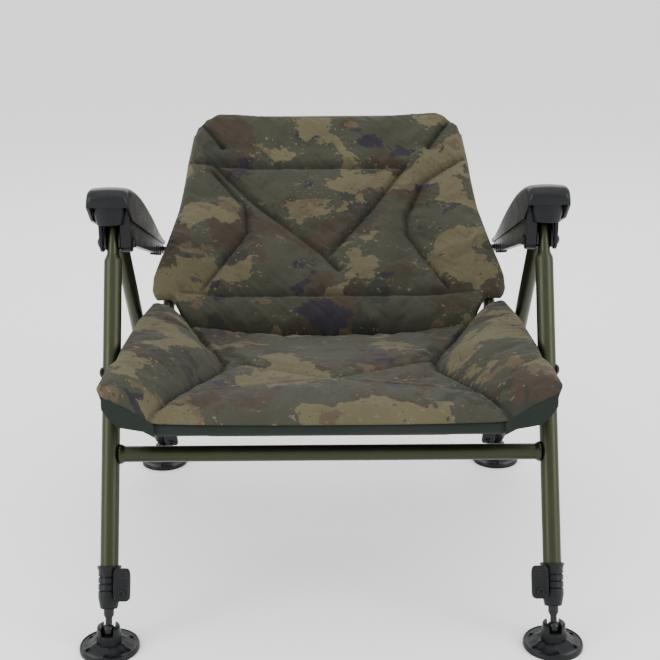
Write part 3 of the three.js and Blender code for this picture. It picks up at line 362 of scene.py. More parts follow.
for leg, side in STANDS:
    line = [[0, 17.5], [2.4, 17.5], [2.6, 19.9], [3.1, 21.9], [4.8, 21.9], [5.2, 21.4], [5.2, 18.2],
            [3, 17.9], [3, -14.4], [3, -19], [2.4, -19.4], [0, -19.4]]
    screw = turned(f"{leg}_clamp_screw_{hand(side)}", line,
                   lambda a, b, h: on_leg(leg, side, clamp_in + a, h, clamp_up + b), dark)
    fit(screw, LEGS[leg]["body"], "dark_steel", f"{leg}_lock_bolt_{hand(side)}")
    nut = turned(f"{leg}_clamp_nut_{hand(side)}", [[0, -14.4], [5.4, -14.4], [5.8, -14.9], [5.8, -17.9],
                 [5.4, -18.4], [0, -18.4]],
                 lambda a, b, h: on_leg(leg, side, clamp_in + a, h, clamp_up + b), dark, 36, 6)
    fit(nut, LEGS[leg]["body"], "dark_steel")

# Inner legs: a plated rod that slides in each tube and ends in a ball over its foot.
plated, tree, shader, place = finish("inner_steel", (0.018, 0.019, 0.018), 0.32, Metallic=0.75)
drawn = node(tree, "Mapping", {"Vector": place, "Scale": (900, 900, 30)}).outputs[0]
streak = mottled(tree, drawn, 1.0, 3.0)
wire(tree, shader, Roughness=ramp(tree, streak, 0.3, 0.7, 0.22, 0.4))
emboss(tree, shader, (0.12, 0.0001, streak))
ball_turn = np.linspace(-np.pi / 2, 1.05, 16)
rod_line = np.concatenate([np.stack([9 * np.cos(ball_turn), 9 * np.sin(ball_turn)], -1),
                           [[4.5, 10.5], [4.5, 15], [5.2, 17], [7, 20], [7, 250], [0, 250]]])
for leg, side in STANDS:
    rod = turned(f"{leg}_inner_rod_{hand(side)}", rod_line,
                 lambda a, b, h: on_leg(leg, side, a, b, h), plated)
    fit(rod, f"inner_{leg}_{hand(side)}", "inner_steel", f"{leg}_inner_leg_{hand(side)}")

# Mud feet: a wide black moulded disc with drain holes, dished up to a hub whose two lobes hold the ball
# and leave a slot for the leg to swing in.
disc_radius, hub_radius, socket_radius = 40.5, 17, 9.5
drains, drain_ring, hub_top, slot_floor = 6, 31, 35.6, 24.6
for leg, side in STANDS:
    turn = np.linspace(0, 2 * np.pi, 120, endpoint=False)[None, :]
    r = np.concatenate([np.linspace(0.3, 9, 14), np.linspace(9.6, hub_radius, 20),
                        np.linspace(17.6, disc_radius, 46)])[:, None]
    x, y = r * np.cos(turn), r * np.sin(turn)
    ball_y, ball_z = LEGS[leg]["ball"]
    plate = 6.4 + 6.4 * (1 - ease(r, 16, 34)) + 1.0 * ease(r, 36.5, 38.4) - 2.6 * ease(r, 39.2, disc_radius)
    hub = 1 - ease(r, 15.2, hub_radius)
    lobe = ease(np.abs(x), 6.6, 8.4) * hub
    socket = ball_z - np.sqrt(np.clip(socket_radius ** 2 - r ** 2, 0, None))
    top = plate + (hub_top - 1.8 * ease(r, 12, 16) - plate) * lobe
    top = top + (np.maximum(slot_floor, plate) - top) * hub * (1 - ease(np.abs(x), 6.6, 8.4))
    top = np.where(r < socket_radius, np.minimum(top, socket), top)
    hole = np.zeros_like(top)
    for k in range(drains):
        a = 2 * np.pi * (k + 0.5) / drains
        d = np.hypot(x - drain_ring * np.cos(a), y - drain_ring * np.sin(a))
        hole = hole + (1 - ease(d, 2.1, 3.2))
    web = 1.3 * np.exp(-((((turn * drains / np.pi) % 2) - 1) * r / 9.0) ** 2)
    web = web * ease(r, hub_radius, 20) * (1 - ease(r, 32, 37))
    top = top + web - hole * 5.0
    under_r = np.array([disc_radius, 40.3, 35.2, 34.4, 1.0, 0.01])[:, None]
    under_z = np.array([0.6, 0.0, 0.0, 3.0, 3.0, 3.0])[:, None]
    under = np.stack(np.broadcast_arrays(under_r * np.cos(turn), under_r * np.sin(turn), under_z), -1)
    grid = np.concatenate([np.stack([x * np.ones_like(top), y * np.ones_like(top), top], -1), under])
    pole = (1, turn.size, 3)
    grid = np.concatenate([np.broadcast_to([0, 0, top[0].mean()], pole), grid,
                           np.broadcast_to([0, 0, 3.0], pole)])
    foot = surface(f"{leg}_mud_foot_{hand(side)}", mm * (grid + [side * leg_x, ball_y, 0]), black, 38)
    fit(foot, f"foot_{leg}_{hand(side)}", "black_plastic", f"{leg}_foot_{hand(side)}")

# Leg heads: two pressed plates riveted on the front leg's neck, a pin for the rear leg behind, and the
# armrest's bolt in front with a domed cap outside and a nut inside.
rear_pin, arm_bolt, seat_bolt = (-73.06, 510.0), (-121.06, 510.0), (-196.56, 344.58)
for side in (-1, 1):
    for name in ("leg_hinge_cheeks", "back_hinge_plate", "back_hinge_pin"):
        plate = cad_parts[f"{name}_{hand(side)}"]
        plate.data.materials.clear()
        plate.data.materials.append(dark)

    def at_head(y, z):
        """The map from a turned shape to a place across the leg, outward from its centre line."""
        return lambda a, b, h: mm * np.stack([side * (leg_x + h), y + a, z + b], -1)

    caps = (("rear_pin", "rear_leg_pin", rear_pin, 11.5, -11.5, 2.2, 7.2),
            ("arm_bolt", "armrest_bolt", arm_bolt, 17.7, -27.6, 4.0, 7.5),
            ("seat_bolt_cap", "seat_bolt", seat_bolt, 12.8, -33.0, 4.0, 7.5))
    for name, stands, (y, z), outer, inner, head, radius in caps:
        dome = [[0, outer + head], [radius * 0.45, outer + head * 0.95], [radius * 0.8, outer + head * 0.65],
                [radius, outer + head * 0.15], [radius, outer], [4, outer], [4, inner], [radius * 0.9, inner],
                [radius, inner - 0.4], [radius, inner - head * 0.85], [radius * 0.9, inner - head],
                [0, inner - head]]
        bolt = turned(f"{name}_{hand(side)}", dome, at_head(y, z), dark)
        fit(bolt, "frame", "dark_steel", f"{stands}_{hand(side)}")

# Seat frame: two rails bolted inside the front legs, a front bar that dips between them and a thinner
# rear bar welded below. Tube, olive paint.
slope = np.radians(3)


def on_seat(x, back, up):
    """A place on the seat frame, from millimetres across, behind the seat bolts and above the rails."""
    x, back, up = np.broadcast_arrays(x, back, up)
    return mm * np.stack([x, seat_bolt[0] + back * np.cos(slope) + up * np.sin(slope),
                          seat_bolt[1] - back * np.sin(slope) + up * np.cos(slope)], -1)


def rounded(corners, bends, steps=12):
    """The line through corners, with each inner corner replaced by a curve of the second degree that
    starts and ends its bend's length away from the corner."""
    corners = np.asarray(corners, float)
    t = np.linspace(0, 1, steps)[:, None]
    line = [corners[:1]]
    for before, here, after, bend in zip(corners, corners[1:], corners[2:], bends):
        start = here - (here - before) / np.linalg.norm(here - before) * bend
        end = here + (after - here) / np.linalg.norm(after - here) * bend
        line.append(start * (1 - t) ** 2 + 2 * here * t * (1 - t) + end * t ** 2)
    line.append(corners[-1:])
    line = np.concatenate(line)
    spans = np.linalg.norm(np.diff(line, axis=0), axis=1)
    reach = np.concatenate([[0], np.cumsum(spans)])
    even = np.linspace(0, reach[-1], max(int(reach[-1] / 6), 24))
    return np.stack([np.interp(even, reach, line[:, i]) for i in range(3)], -1)


rail_x, rail_front, rail_rear, bent_radius = 276.8, -109.2, 264, 9.5
for side in (-1, 1):
    place = on_seat(side * rail_x, np.linspace(rail_front, rail_rear, 50), 0)
    rail = pipe(f"seat_side_tube_{hand(side)}", place, bent_radius * mm, (1, 0, 0), olive)
    fit(rail, "seat", "olive_paint", f"seat_rail_{hand(side)}")
dip_x, dip, front_back = 232, -38, -119
line = rounded([(-rail_x, front_back, 0), (-dip_x, front_back, dip), (dip_x, front_back, dip),
                (rail_x, front_back, 0)], [22, 22])
bar = pipe("seat_front_tube", on_seat(*line.T), bent_radius * mm, (0, 1, 0.05), olive)
fit(bar, "seat", "olive_paint", "seat_front_bar")
low_x, low, rear_back, rear_bar_radius = 240.8, -49.3, 234, 7
line = rounded([(-rail_x, rear_back, -13.6), (-low_x, rear_back, low), (low_x, rear_back, low),
                (rail_x, rear_back, -13.6)], [16, 16])
bar = pipe("seat_rear_tube", on_seat(*line.T), rear_bar_radius * mm, (0, 1, 0.05), olive)
fit(bar, "seat", "olive_paint", "seat_rear_bar")

# Back frame: one tube bent to a U and kinked at half height, hinged on the seat's plates, with a peg
# out of each side that hooks into the armrest's rack.
hinge, low_turn, kink = np.array([62.03, 349.05]), np.radians(33), np.radians(13)
kink_up, kink_bend, peg_up = 200, 30, 136


def on_back(x, up, out):
    """A place on the back, from millimetres across, up its kinked line from the hinge, and forward of
    that line. The kink is a curve of the second degree from 170 to 230 mm up."""
    x, up, out = np.broadcast_arrays(np.asarray(x, float), up, out)
    start, end = kink_up - kink_bend, kink_up + kink_bend
    t = np.clip((up - start) / (end - start), 0, 1)
    rise = kink_bend * t * t + np.maximum(up - end, 0)
    run = np.minimum(up, start) + (end - start) * t * (1 - t) + kink_bend * t * t
    ahead = run + rise * np.cos(kink) - out * np.sin(kink * t)
    above = rise * np.sin(kink) + out * np.cos(kink * t)
    return mm * np.stack([x, hinge[0] + ahead * np.cos(low_turn) - above * np.sin(low_turn),
                          hinge[1] + ahead * np.sin(low_turn) + above * np.cos(low_turn)], -1)


tube_x, kink_x, top_x, back_top = 254.8, 240, 222, 398
corners = [on_back(*place, 0) for place in (
    (-tube_x, -bent_radius), (-kink_x, kink_up), (-top_x, back_top),
    (top_x, back_top), (kink_x, kink_up), (tube_x, -bent_radius))]
sharp_kink = mm * (hinge + kink_up * np.array([np.cos(low_turn), np.sin(low_turn)]))
corners[1][1:], corners[4][1:] = sharp_kink, sharp_kink
line = rounded(corners, [0.03, 0.055, 0.055, 0.03], 16)
tube = pipe("back_tube", line, bent_radius * mm, (0, -0.643, 0.766), olive)
fit(tube, "back", "olive_paint", "back_frame")
for side in (-1, 1):
    line = [[0, 254.6], [6.5, 254.6], [6.5, 258.2], [5.8, 258.8], [4, 259.2], [4, 284.2], [3.4, 285],
            [0, 285]]
    centre = on_back(0, peg_up, 0)
    peg = turned(f"back_peg_{hand(side)}", line,
                 lambda a, b, h: centre + mm * np.stack([side * h, a, b], -1), dark)
    fit(peg, "back", "dark_steel", f"recline_peg_{hand(side)}")

# Armrests: a moulded shell, open below, with rounded shoulders and a blunt nose. Inside it an ear on
# each side of the leg's head takes the bolt, and a rib runs back to the toothed rack for the peg.
arm_line = np.array([
    [0.006, 0.14], [0, 0.067], [0.022, 0.012], [0.055, 0], [0.105, 0.018], [0.209, 0.085], [0.377, 0.227],
    [0.609, 0.482], [0.832, 0.764], [0.945, 0.897], [0.989, 0.939], [1, 0.976], [0.983, 1]])
arm_length, arm_fall, nose_ahead, nose_up = 363, 165, 34, 79
arm_half, arm_wall, shoulder_radius = 29, 3.5, 9
arm_line = arm_line * [arm_length, -arm_fall] + [-nose_ahead, nose_up]


def curve(points, steps):
    """A smooth line through points (Catmull-Rom): each stretch leaves and arrives along the direction
    between the neighbours on either side."""
    p = np.concatenate([[2 * points[0] - points[1]], points, [2 * points[-1] - points[-2]]])
    t = np.linspace(0, 1, steps, endpoint=False)[:, None]
    a, b, c, d = p[:-3, None], p[1:-2, None], p[2:-1, None], p[3:, None]
    line = 0.5 * (2 * b + (c - a) * t + (2 * a - 5 * b + 4 * c - d) * t ** 2
                  + (3 * b - a - 3 * c + d) * t ** 3)
    return np.concatenate([line.reshape(-1, points.shape[1]), points[-1:]])


def arm_ring(line, normal, half, inset, radius):
    """One skin of the armrest: each station's ring goes up the left wall from the lower edge, over the
    rounded shoulder, across the crowned top and down the right wall."""
    top = line - inset * normal
    foot_y = np.clip(line[:, 0], -31.8, 322.8)
    foot = np.stack([foot_y, np.interp(foot_y, [-31.8, -3.1, 314.8, 322.8], [55.9, 31, -84, -86])], -1)
    drop = np.linalg.norm(top - foot, axis=1, keepdims=True)
    round_ = np.minimum(radius, drop * 0.8)
    arc = np.linspace(0, np.pi / 2, 9)
    wall = np.linspace(0, 1, 8)[:-1]
    shoulder = top - round_ * normal
    left = [np.concatenate([np.full((len(top), 1), -half), foot + w * (shoulder - foot)], 1) for w in wall]
    left += [np.concatenate([-half + round_ * (1 - np.cos(a)), shoulder + round_ * normal * np.sin(a)], 1)
             for a in arc]
    flat = np.linspace(-1, 1, 13)[1:-1]
    middle = [np.concatenate([x * (half - round_), top + 1.2 * (1 - x * x) * normal * (round_ / radius)], 1)
              for x in flat]
    right = [p * [-1, 1, 1] for p in left[::-1]]
    return np.stack(left + middle + right, 1)


for side in (-1, 1):
    def at_arm(points):
        """Places beside, behind and above the armrest's bolt, outward from the leg's centre line."""
        return mm * (points * [side, 1, 1] + [side * leg_x, *arm_bolt])

    line = curve(arm_line, 7)
    along = np.gradient(line, axis=0)
    along /= np.linalg.norm(along, axis=1, keepdims=True)
    normal = np.stack([-along[:, 1], along[:, 0]], -1)
    outer = arm_ring(line, normal, arm_half, 0, shoulder_radius)
    inner = arm_ring(line, normal, arm_half - arm_wall, arm_wall, shoulder_radius - arm_wall)
    ring = np.concatenate([outer, inner[:, ::-1]], 1)
    middles = (outer[:1] + inner[:1]) / 2, (outer[-1:] + inner[-1:]) / 2
    front_lip, rear_lip = (np.concatenate([m, m[:, ::-1]], 1) for m in middles)
    points = at_arm(np.concatenate([front_lip, ring, rear_lip]))
    shell = surface(f"armrest_shell_{hand(side)}", points, black, 50)
    fit(shell, f"arm_{hand(side)}", "black_plastic", f"armrest_{hand(side)}")

    def slab(name, outline, x0, x1, material, edge=1.0):
        """A plate cut to an outline in the upright plane, between two places across, with eased edges."""
        count = len(outline)
        points = np.concatenate([np.insert(outline, 0, x, 1) for x in (x0, x1)])
        mesh = bpy.data.meshes.new(name)
        rim = [(i, (i + 1) % count, count + (i + 1) % count, count + i) for i in range(count)]
        mesh.from_pydata(at_arm(points).tolist(), [],
                         [tuple(range(count)), tuple(range(2 * count - 1, count - 1, -1)), *rim])
        work = bmesh.new()
        work.from_mesh(mesh)
        bmesh.ops.recalc_face_normals(work, faces=work.faces)
        work.to_mesh(mesh)
        work.free()
        obj = bpy.data.objects.new(name, mesh)
        bpy.context.scene.collection.objects.link(obj)
        mesh.materials.append(material)
        soft = obj.modifiers.new("edges", "BEVEL")
        soft.width, soft.segments, soft.limit_method = edge * mm, 3, "ANGLE"
        return obj

    turn = np.linspace(np.pi, 2 * np.pi, 17)
    ear_radius = 13.5
    ear = np.concatenate([np.stack([ear_radius * np.cos(turn), ear_radius * np.sin(turn)], -1),
                          [[15, 40], [12, 66], [-12, 71], [-15, 40]]])
    for name, x0, x1 in (("outer", 12.4, 17.4), ("inner", -27.0, -12.4)):
        piece = slab(f"armrest_ear_{name}_{hand(side)}", ear, x0, x1, black, 1.4)
        fit(piece, f"arm_{hand(side)}", "black_plastic")

    rear_tooth, tooth_pitch, teeth_count = 297.15, 21, 4
    tooth_y = rear_tooth - tooth_pitch * np.arange(teeth_count)
    tooth_low = -94.88 - 0.28 * (tooth_y - rear_tooth)
    teeth = np.concatenate([[[y + 6.2, z], [y + 4.6, z + 9.4], [y + 2.8, z + 12.3], [y - 2.8, z + 12.3],
                             [y - 4.6, z + 9.4], [y - 11.8, z]] for y, z in zip(tooth_y, tooth_low)])
    under = line[(line[:, 0] > 12) & (line[:, 0] < 306) & (line[:, 1] > -72)] - [0, 6.5]
    rack = np.concatenate([[[316, -74.4], [316, -100.2]], teeth,
                           [[221.6, -73.7], [9.4, -6.8], [0, 0], [0, 66]], under])
    rail = slab(f"armrest_rack_{hand(side)}", rack, -27.2, -17.5, black, 0.7)
    fit(rail, f"arm_{hand(side)}", "black_plastic")

    # The boss: a moulded skirt in front of the leg's head, under the nose and down to the ears. It stops
    # 29 mm above the bolt, so that it swings past the leg when the armrest lifts.
    across = np.linspace(-1, 1, 41)[None, :]
    down = np.linspace(0, 1, 21)[:, None]
    round_front = np.sqrt(np.clip(1 - across ** 2, 0, 1))
    boss_top, boss_height = 58, 29
    grid = np.stack([across * (24 - 6 * down), -13 - 11 * round_front * np.ones_like(down),
                     boss_top - boss_height * down * np.ones_like(across)], -1)
    boss = stretch(f"armrest_boss_{hand(side)}", at_arm(grid))
    boss.data.shade_smooth()
    boss.data.materials.append(black)
    wall = boss.modifiers.new("wall", "SOLIDIFY")
    wall.thickness, wall.offset = 2 * mm, 0
    fit(boss, f"arm_{hand(side)}", "black_plastic")

# Seat cushion: quilted camouflage cloth over foam, slung low in the middle, with a puffed wing over each
# rail that narrows towards the back. Its underside is plain dark cloth.
camo, tree, shader, _ = finish("camouflage_cloth", (0.04, 0.04, 0.028), 0.9, Sheen_Weight=0.04,
                               Sheen_Roughness=0.5, Specular_IOR_Level=0.15)
cloth = node(tree, "UVMap", uv_map="cloth").outputs[0]


def shift(vector, by, scale=(1, 1, 1), turn=0.0):
    """The place moved, turned in the cloth's plane and scaled."""
    values = {"Vector": vector, "Location": by, "Rotation": (0, 0, turn), "Scale": scale}
    return node(tree, "Mapping", values).outputs[0]


def wobble(vector, scale, amount, detail=3.0):
    """The place moved sideways by noise of that scale, by at most about that amount."""
    noise = node(tree, "TexNoise", {"Vector": vector, "Scale": scale, "Detail": detail}).outputs["Color"]
    centred = node(tree, "VectorMath", [noise, (0.5, 0.5, 0.5)], operation="SUBTRACT").outputs[0]
    grown = node(tree, "VectorMath", {0: centred, "Scale": amount}, operation="SCALE").outputs[0]
    return node(tree, "VectorMath", [vector, grown], operation="ADD").outputs[0]


def blotch(vector, scale, low, soft=0.008, detail=7.0, rough=0.56):
    """1 inside the blotches of a noise and 0 outside, with a ragged edge that is soft by a hair."""
    return ramp(tree, mottled(tree, vector, scale, detail, rough), low, low + soft, 0.0, 1.0)


def both(a, b):
    """The product of two amounts."""
    return node(tree, "Math", [a, b], operation="MULTIPLY").outputs[0]


def over(amount, under, colour):
    """A colour laid over what is under it, by that amount."""
    return mixed(tree, amount, under, (*colour, 1))


def woven(vector, scale, distortion):
    """The product of two sets of waves, one along each thread."""
    values = {"Vector": vector, "Scale": scale, "Distortion": distortion}
    waves = [node(tree, "TexWave", values, bands_direction=way).outputs["Fac"] for way in "XY"]
    return both(*waves)


torn = wobble(cloth, 20.0, 0.03, 4.0)
slant = shift(torn, (1.3, 5.8, 0), (0.9, 1.2, 1), 0.42)
swept = shift(torn, (5.3, 9.4, 0), (0.85, 1.2, 1), -0.5)
tone = over(blotch(shift(torn, (3.1, 0.4, 0)), 8.0, 0.53), (0.033, 0.033, 0.023, 1), (0.033, 0.026, 0.018))
tone = over(blotch(shift(torn, (7.7, 2.2, 0)), 10.0, 0.58), tone, (0.023, 0.024, 0.018))
tone = over(blotch(swept, 11.0, 0.615), tone, (0.019, 0.017, 0.0215))
tone = over(blotch(slant, 9.0, 0.55), tone, (0.073, 0.064, 0.036))
tone = over(blotch(shift(torn, (9.2, 3.3, 0), (0.9, 1.3, 1), 0.9), 12.0, 0.615), tone, (0.06, 0.046, 0.029))
around = blotch(slant, 9.0, 0.49)
flecks = blotch(shift(cloth, (4.4, 1.9, 0), (0.8, 1.2, 1), 0.4), 150.0, 0.63, 0.02, 2.0)
tone = over(both(both(around, flecks), 0.9), tone, (0.088, 0.08, 0.052))
grey = blotch(shift(cloth, (2.4, 7.9, 0), (0.8, 1.2, 1), 0.4), 120.0, 0.66, 0.02, 2.0)
tone = over(both(grey, 0.7), tone, (0.018, 0.019, 0.015))
weave = woven(cloth, 260.0, 0.3)
fade = mottled(tree, cloth, 16.0, 5.0)
fade = ramp(tree, fade, 0.25, 0.75, 0.86, 1.12)
weave_fade_and_seam_shade = ramp(tree, weave, 0.0, 1.0, 0.9, 1.08)
weave_fade_and_seam_shade = both(weave_fade_and_seam_shade, fade)
# Painted shade: the cloth is darkened along each seam, down to 0.4 of its tone, where the crease would lie in
# shade.
painted_seam_shade = node(tree, "Attribute", attribute_name="seam").outputs["Fac"]
weave_fade_and_seam_shade = both(weave_fade_and_seam_shade, ramp(tree, painted_seam_shade, 0.15, 1.0, 1.0, 0.4))
weave_fade_and_seam_shade = node(tree, "CombineColor", [weave_fade_and_seam_shade, weave_fade_and_seam_shade, weave_fade_and_seam_shade]).outputs[0]
tone = node(tree, "MixRGB", [1.0, tone, weave_fade_and_seam_shade], blend_type="MULTIPLY").outputs[0]
wire(tree, shader, Base_Color=tone)
crease = mottled(tree, wobble(cloth, 14.0, 0.05), 42.0, 5.0, 0.6)
emboss(tree, shader, (0.35, 0.004, crease), (0.4, 0.0002, weave))

backing, tree, shader, place = finish("dark_cloth", (0.009, 0.013, 0.0105), 0.85, Sheen_Weight=0.03,
                                      Specular_IOR_Level=0.15)
weave = woven(place, 240.0, 0.4)
fade = mottled(tree, place, 22.0, 5.0)
shade = mixed(tree, fade, (0.007, 0.0105, 0.0085, 1), (0.013, 0.018, 0.0145, 1))
wire(tree, shader, Base_Color=shade)
emboss(tree, shader, (0.3, 0.003, fade), (0.4, 0.0002, weave))


def seam_gap(x, y, seams):
    """Distance of each place to the nearest of the seams, each given by its two ends."""
    gap = np.full(x.shape, 1e9)
    for x0, y0, x1, y1 in seams:
        t = np.clip(((x - x0) * (x1 - x0) + (y - y0) * (y1 - y0)) / ((x1 - x0) ** 2 + (y1 - y0) ** 2), 0, 1)
        gap = np.minimum(gap, np.hypot(x - x0 - t * (x1 - x0), y - y0 - t * (y1 - y0)))
    return gap


def cushion(name, face, columns, rows, pinned, sewn, puff):
    """A padded piece: face(u, v, layer) gives its upper and lower cloth over a grid, which meet at the
    rim. Air pressure then fills the cloth out between the places that pinned(u, v) holds, within puff."""
    u = np.linspace(0, 1, columns)[None, :] * np.ones((rows, 1))
    v = np.linspace(0, 1, rows)[:, None] * np.ones((1, columns))
    upper, flat = face(u, v, 1)
    lower, _ = face(u, v, 0)
    rim = (u == 0) | (u == 1) | (v == 0) | (v == 1)
    middle = (upper + lower) / 2
    upper[rim], lower[rim] = middle[rim], middle[rim]
    count = rows * columns
    a = (np.arange(rows - 1)[:, None] * columns + np.arange(columns - 1)).ravel()
    faces = np.stack([a, a + 1, a + columns + 1, a + columns], -1)
    share = np.where(rim.ravel(), np.arange(count), np.arange(count) + count)
    under = share[faces[:, ::-1]]
    used = np.unique(np.concatenate([np.arange(count), share]))
    renumber = np.zeros(2 * count, int)
    renumber[used] = np.arange(len(used))
    points = np.concatenate([upper.reshape(-1, 3), lower.reshape(-1, 3)])[used]
    mesh = bpy.data.meshes.new(name)
    mesh.from_pydata(points.tolist(), [], renumber[np.concatenate([faces, under])].tolist())
    layer = mesh.uv_layers.new(name="cloth")
    spot = np.concatenate([flat.reshape(-1, 2), flat.reshape(-1, 2) + [0.37, 0.61]])[used]
    ends = np.zeros(len(mesh.loops), int)
    mesh.loops.foreach_get("vertex_index", ends)
    layer.data.foreach_set("uv", spot[ends].ravel())
    # The seam attribute rises to 1 at the seams; the cloth's material turns it into painted shade in the
    # creases.
    near = np.concatenate([np.exp(-(sewn(u, v).ravel() / 3.2) ** 2), np.zeros(count)])[used]
    mesh.attributes.new("seam", "FLOAT", "POINT").data.foreach_set("value", near.astype(np.float32))
    obj = bpy.data.objects.new(name, mesh)
    bpy.context.scene.collection.objects.link(obj)
    mesh.materials.append(camo)
    mesh.materials.append(backing)
    mesh.polygons.foreach_set("material_index", np.repeat([0, 1], len(faces)).astype(np.int32))
    mesh.shade_smooth()
    if puff:
        hold = np.concatenate([pinned(u, v).ravel(), np.ones(count)])[used]
        group = obj.vertex_groups.new(name="held")
        for level in np.unique(np.round(hold, 1)):
            group.add(np.flatnonzero(np.round(hold, 1) == level).tolist(), float(level), "REPLACE")
        air = obj.modifiers.new("air", "CLOTH")
        air.settings.vertex_group_mass = "held"
        air.settings.use_pressure = True
        air.settings.uniform_pressure_force = 4
        air.settings.effector_weights.gravity = 0
        air.settings.shrink_min = -0.035
        air.settings.tension_stiffness = 12
        air.settings.bending_stiffness = 0.3
        air.collision_settings.use_collision = False
        bpy.context.view_layer.update()
        for step in range(1, 21):
            bpy.context.scene.frame_set(step)
        shape = obj.evaluated_get(bpy.context.evaluated_depsgraph_get()).data
        moved = np.zeros(len(points) * 3)
        shape.vertices.foreach_get("co", moved)
        move = moved.reshape(-1, 3) - points
        reach = np.linalg.norm(move, axis=1, keepdims=True)
        move *= np.minimum(1, puff * mm / np.maximum(reach, 1e-9))
        obj.modifiers.clear()
        bpy.context.scene.frame_set(1)
        mesh.vertices.foreach_set("co", (points + move).ravel())
        mesh.update()
    fine = obj.modifiers.new("fine", "SUBSURF")
    fine.levels = fine.render_levels = 1
    return obj


ball_ahead = -LEGS["front"]["ball"][0]
seat_front, seat_rear = 9.8, 404
bar_y, bar_z = 25.5, 313
seat_seams = []
for s in (-1, 1):
    seat_seams += [(s * 232, 10, s * 154, 177), (s * 154, 177, s * 154, 228), (s * 154, 228, s * 226, 400)]
faint_seams = [(-154, 228, 0, 140), (154, 228, 0, 140), (-205, 70, 0, 140), (205, 70, 0, 140)]


def seat_grid(u, v):
    """Places across and behind the front ball: closer together at the rim, and drawn in at the rear
    corners so that the wings end ahead of the back's side tubes."""
    s = 2 * u - 1
    s = s * (1.22 - 0.22 * s ** 2)
    end = seat_rear - 21 * ease(np.abs(s), 0.85, 0.9)
    y = seat_front + (end - seat_front) * (v * (1 + 0.5 * (1 - v) * (0.5 - v)))
    half = np.interp(y, [seat_front, 22, 55, 80, 97, 139, 270, 383],
                     [292, 300, 296, 292, 286, 285, 281, 274])
    return s, y, half, end


def slung(x, y):
    """Height of the sling: level in the middle, a little higher at the front, climbing to the sides."""
    return 296 - 6 * (1 - ease(y, 60, 250)) + 6 * (1 - ease(y, 30, 110)) + 34 * ease(np.abs(x), 150, 262)


def carried(x, y):
    """Height of what carries the cushion: the sling, the round sleeve of the front bar, which climbs at
    both ends, the rear bar, and a smooth hump over each side tube."""
    a = np.abs(x)
    sleeve_radius = 13.4
    sleeve = bar_z + 37.9 * np.clip((a - dip_x) / 44.8, 0, 1) \
        + np.sqrt(np.clip(sleeve_radius ** 2 - (y - bar_y) ** 2, 0, None))
    tube = 344.6 - (y - 144.5) * 0.0523 + 11 * (1 - ((a - rail_x) / 20) ** 2)
    return np.maximum.reduce([np.where((a < 262) & (y > 14), slung(x, y) + 1.4, 0),
                              np.where(np.abs(y - bar_y) < sleeve_radius, sleeve, 0),
                              np.where((np.abs(y - 375.6) < 12) & (a < 240), 291.5, 0),
                              np.where((np.abs(a - rail_x) < 20) & (y > 14), tube, 0)])


def seat_face(u, v, layer):
    """Seat cloth in millimetres behind the front ball: the middle falls from the front roll to the back
    and each wing climbs from its seam to the rim. Foam fills out between the seams and thins at the rim,
    and the under side lies on what carries it."""
    s, y, half, end = seat_grid(u, v)
    x = s * half
    edge = np.interp(y, [10, 177, 228, 400], [232, 154, 154, 226])
    wing = np.clip((np.abs(x) - edge) / (half - edge), 0, 1)
    level = np.interp(y, [seat_front, 30, 60, 110, 230, 320, seat_rear],
                      [329, 334, 337, 334, 325, 315, 304])
    rise = 5 + 24 * ease(y, 260, 395)
    rim = np.interp(y, [seat_front, 22, 60, 139, 270, 383], [366, 378, 385, 391, 388, 380])
    top = np.where(wing > 0, level + rise + (rim - level - rise) * wing,
                   level + rise * np.clip(np.abs(x) / edge, 0, 1) ** 3)
    gap = seam_gap(x, y, seat_seams)
    light = seam_gap(x, y, faint_seams)
    bulge = 11 * (1 - np.exp(-gap / 24)) * (wing > 0) * (1 - wing ** 3) \
        + 5 * (1 - np.exp(-gap / 40)) * (wing == 0)
    pucker = 1.2 * np.exp(-gap / 12) * np.sin(x * 0.33 + y * 0.41 + np.sin(y * 0.11) * 3)
    to_rim = np.minimum.reduce([half - np.abs(x), y - seat_front, (end - y) * 2])
    body = np.sqrt(np.clip(1 - (1 - np.clip(to_rim / 26, 0, 1)) ** 2, 0, 1))
    low = np.maximum(top - 12 - 8.3 * body, carried(x, y) + 0.8)
    upper = top - 12 + (12 + bulge + pucker) * body - 9 * np.exp(-(gap / 5.5) ** 2) * body \
        - 3.2 * np.exp(-(light / 4.5) ** 2) * body
    z = np.maximum(upper, low + 7 * body) if layer else low
    return mm * np.stack([x, y - ball_ahead, z], -1), mm * np.stack([x, y * 1.04], -1)


def seat_sewn(u, v):
    """Millimetres to the nearest seam, where the cloth gets painted shade; a faint seam counts as further
    off.
    """
    s, y, half, _ = seat_grid(u, v)
    return np.minimum(seam_gap(s * half, y, seat_seams), seam_gap(s * half, y, faint_seams) + 1.5)


def seat_hold(u, v):
    """1 at a seam or the rim, which stay, down to 0 about 9 mm away; a faint seam holds less."""
    s, y, half, end = seat_grid(u, v)
    gap = np.minimum(seam_gap(s * half, y, seat_seams),
                     np.minimum.reduce([half * (1 - np.abs(s)), y - seat_front, end - y]))
    light = seam_gap(s * half, y, faint_seams)
    return np.clip(np.maximum(1.05 - gap / 9, 0.75 - light / 9), 0, 1)


seat = cushion("seat_pad", seat_face, 150, 110, seat_hold, seat_sewn, 8)
fit(seat, "seat", "cushion_cloth", "seat_cushion")

# Back cushion: the same quilted cloth, slung in the back frame, with a headrest roll across the top
# under a soft seam, a V and two side panels sewn in, and a lower roll over the seat's rear edge.
back_seams = [
    (-213, 372, -179, 330), (209, 380, 172, 330), (-238, 300, -193, 294), (-193, 294, 132, 294),
    (-191, 292, -9, 110), (-9, 110, 16, 76), (130, 294, -2, 104), (-191, 276, -137, 211),
    (-137, 211, -135, 158), (-135, 158, -203, 30), (229, 303, 158, 259), (158, 259, 129, 190),
    (129, 190, 129, 151), (129, 151, 193, 30), (-232, 26, 226, 26)]
head_seam = [(-193, 328, 172, 328)]


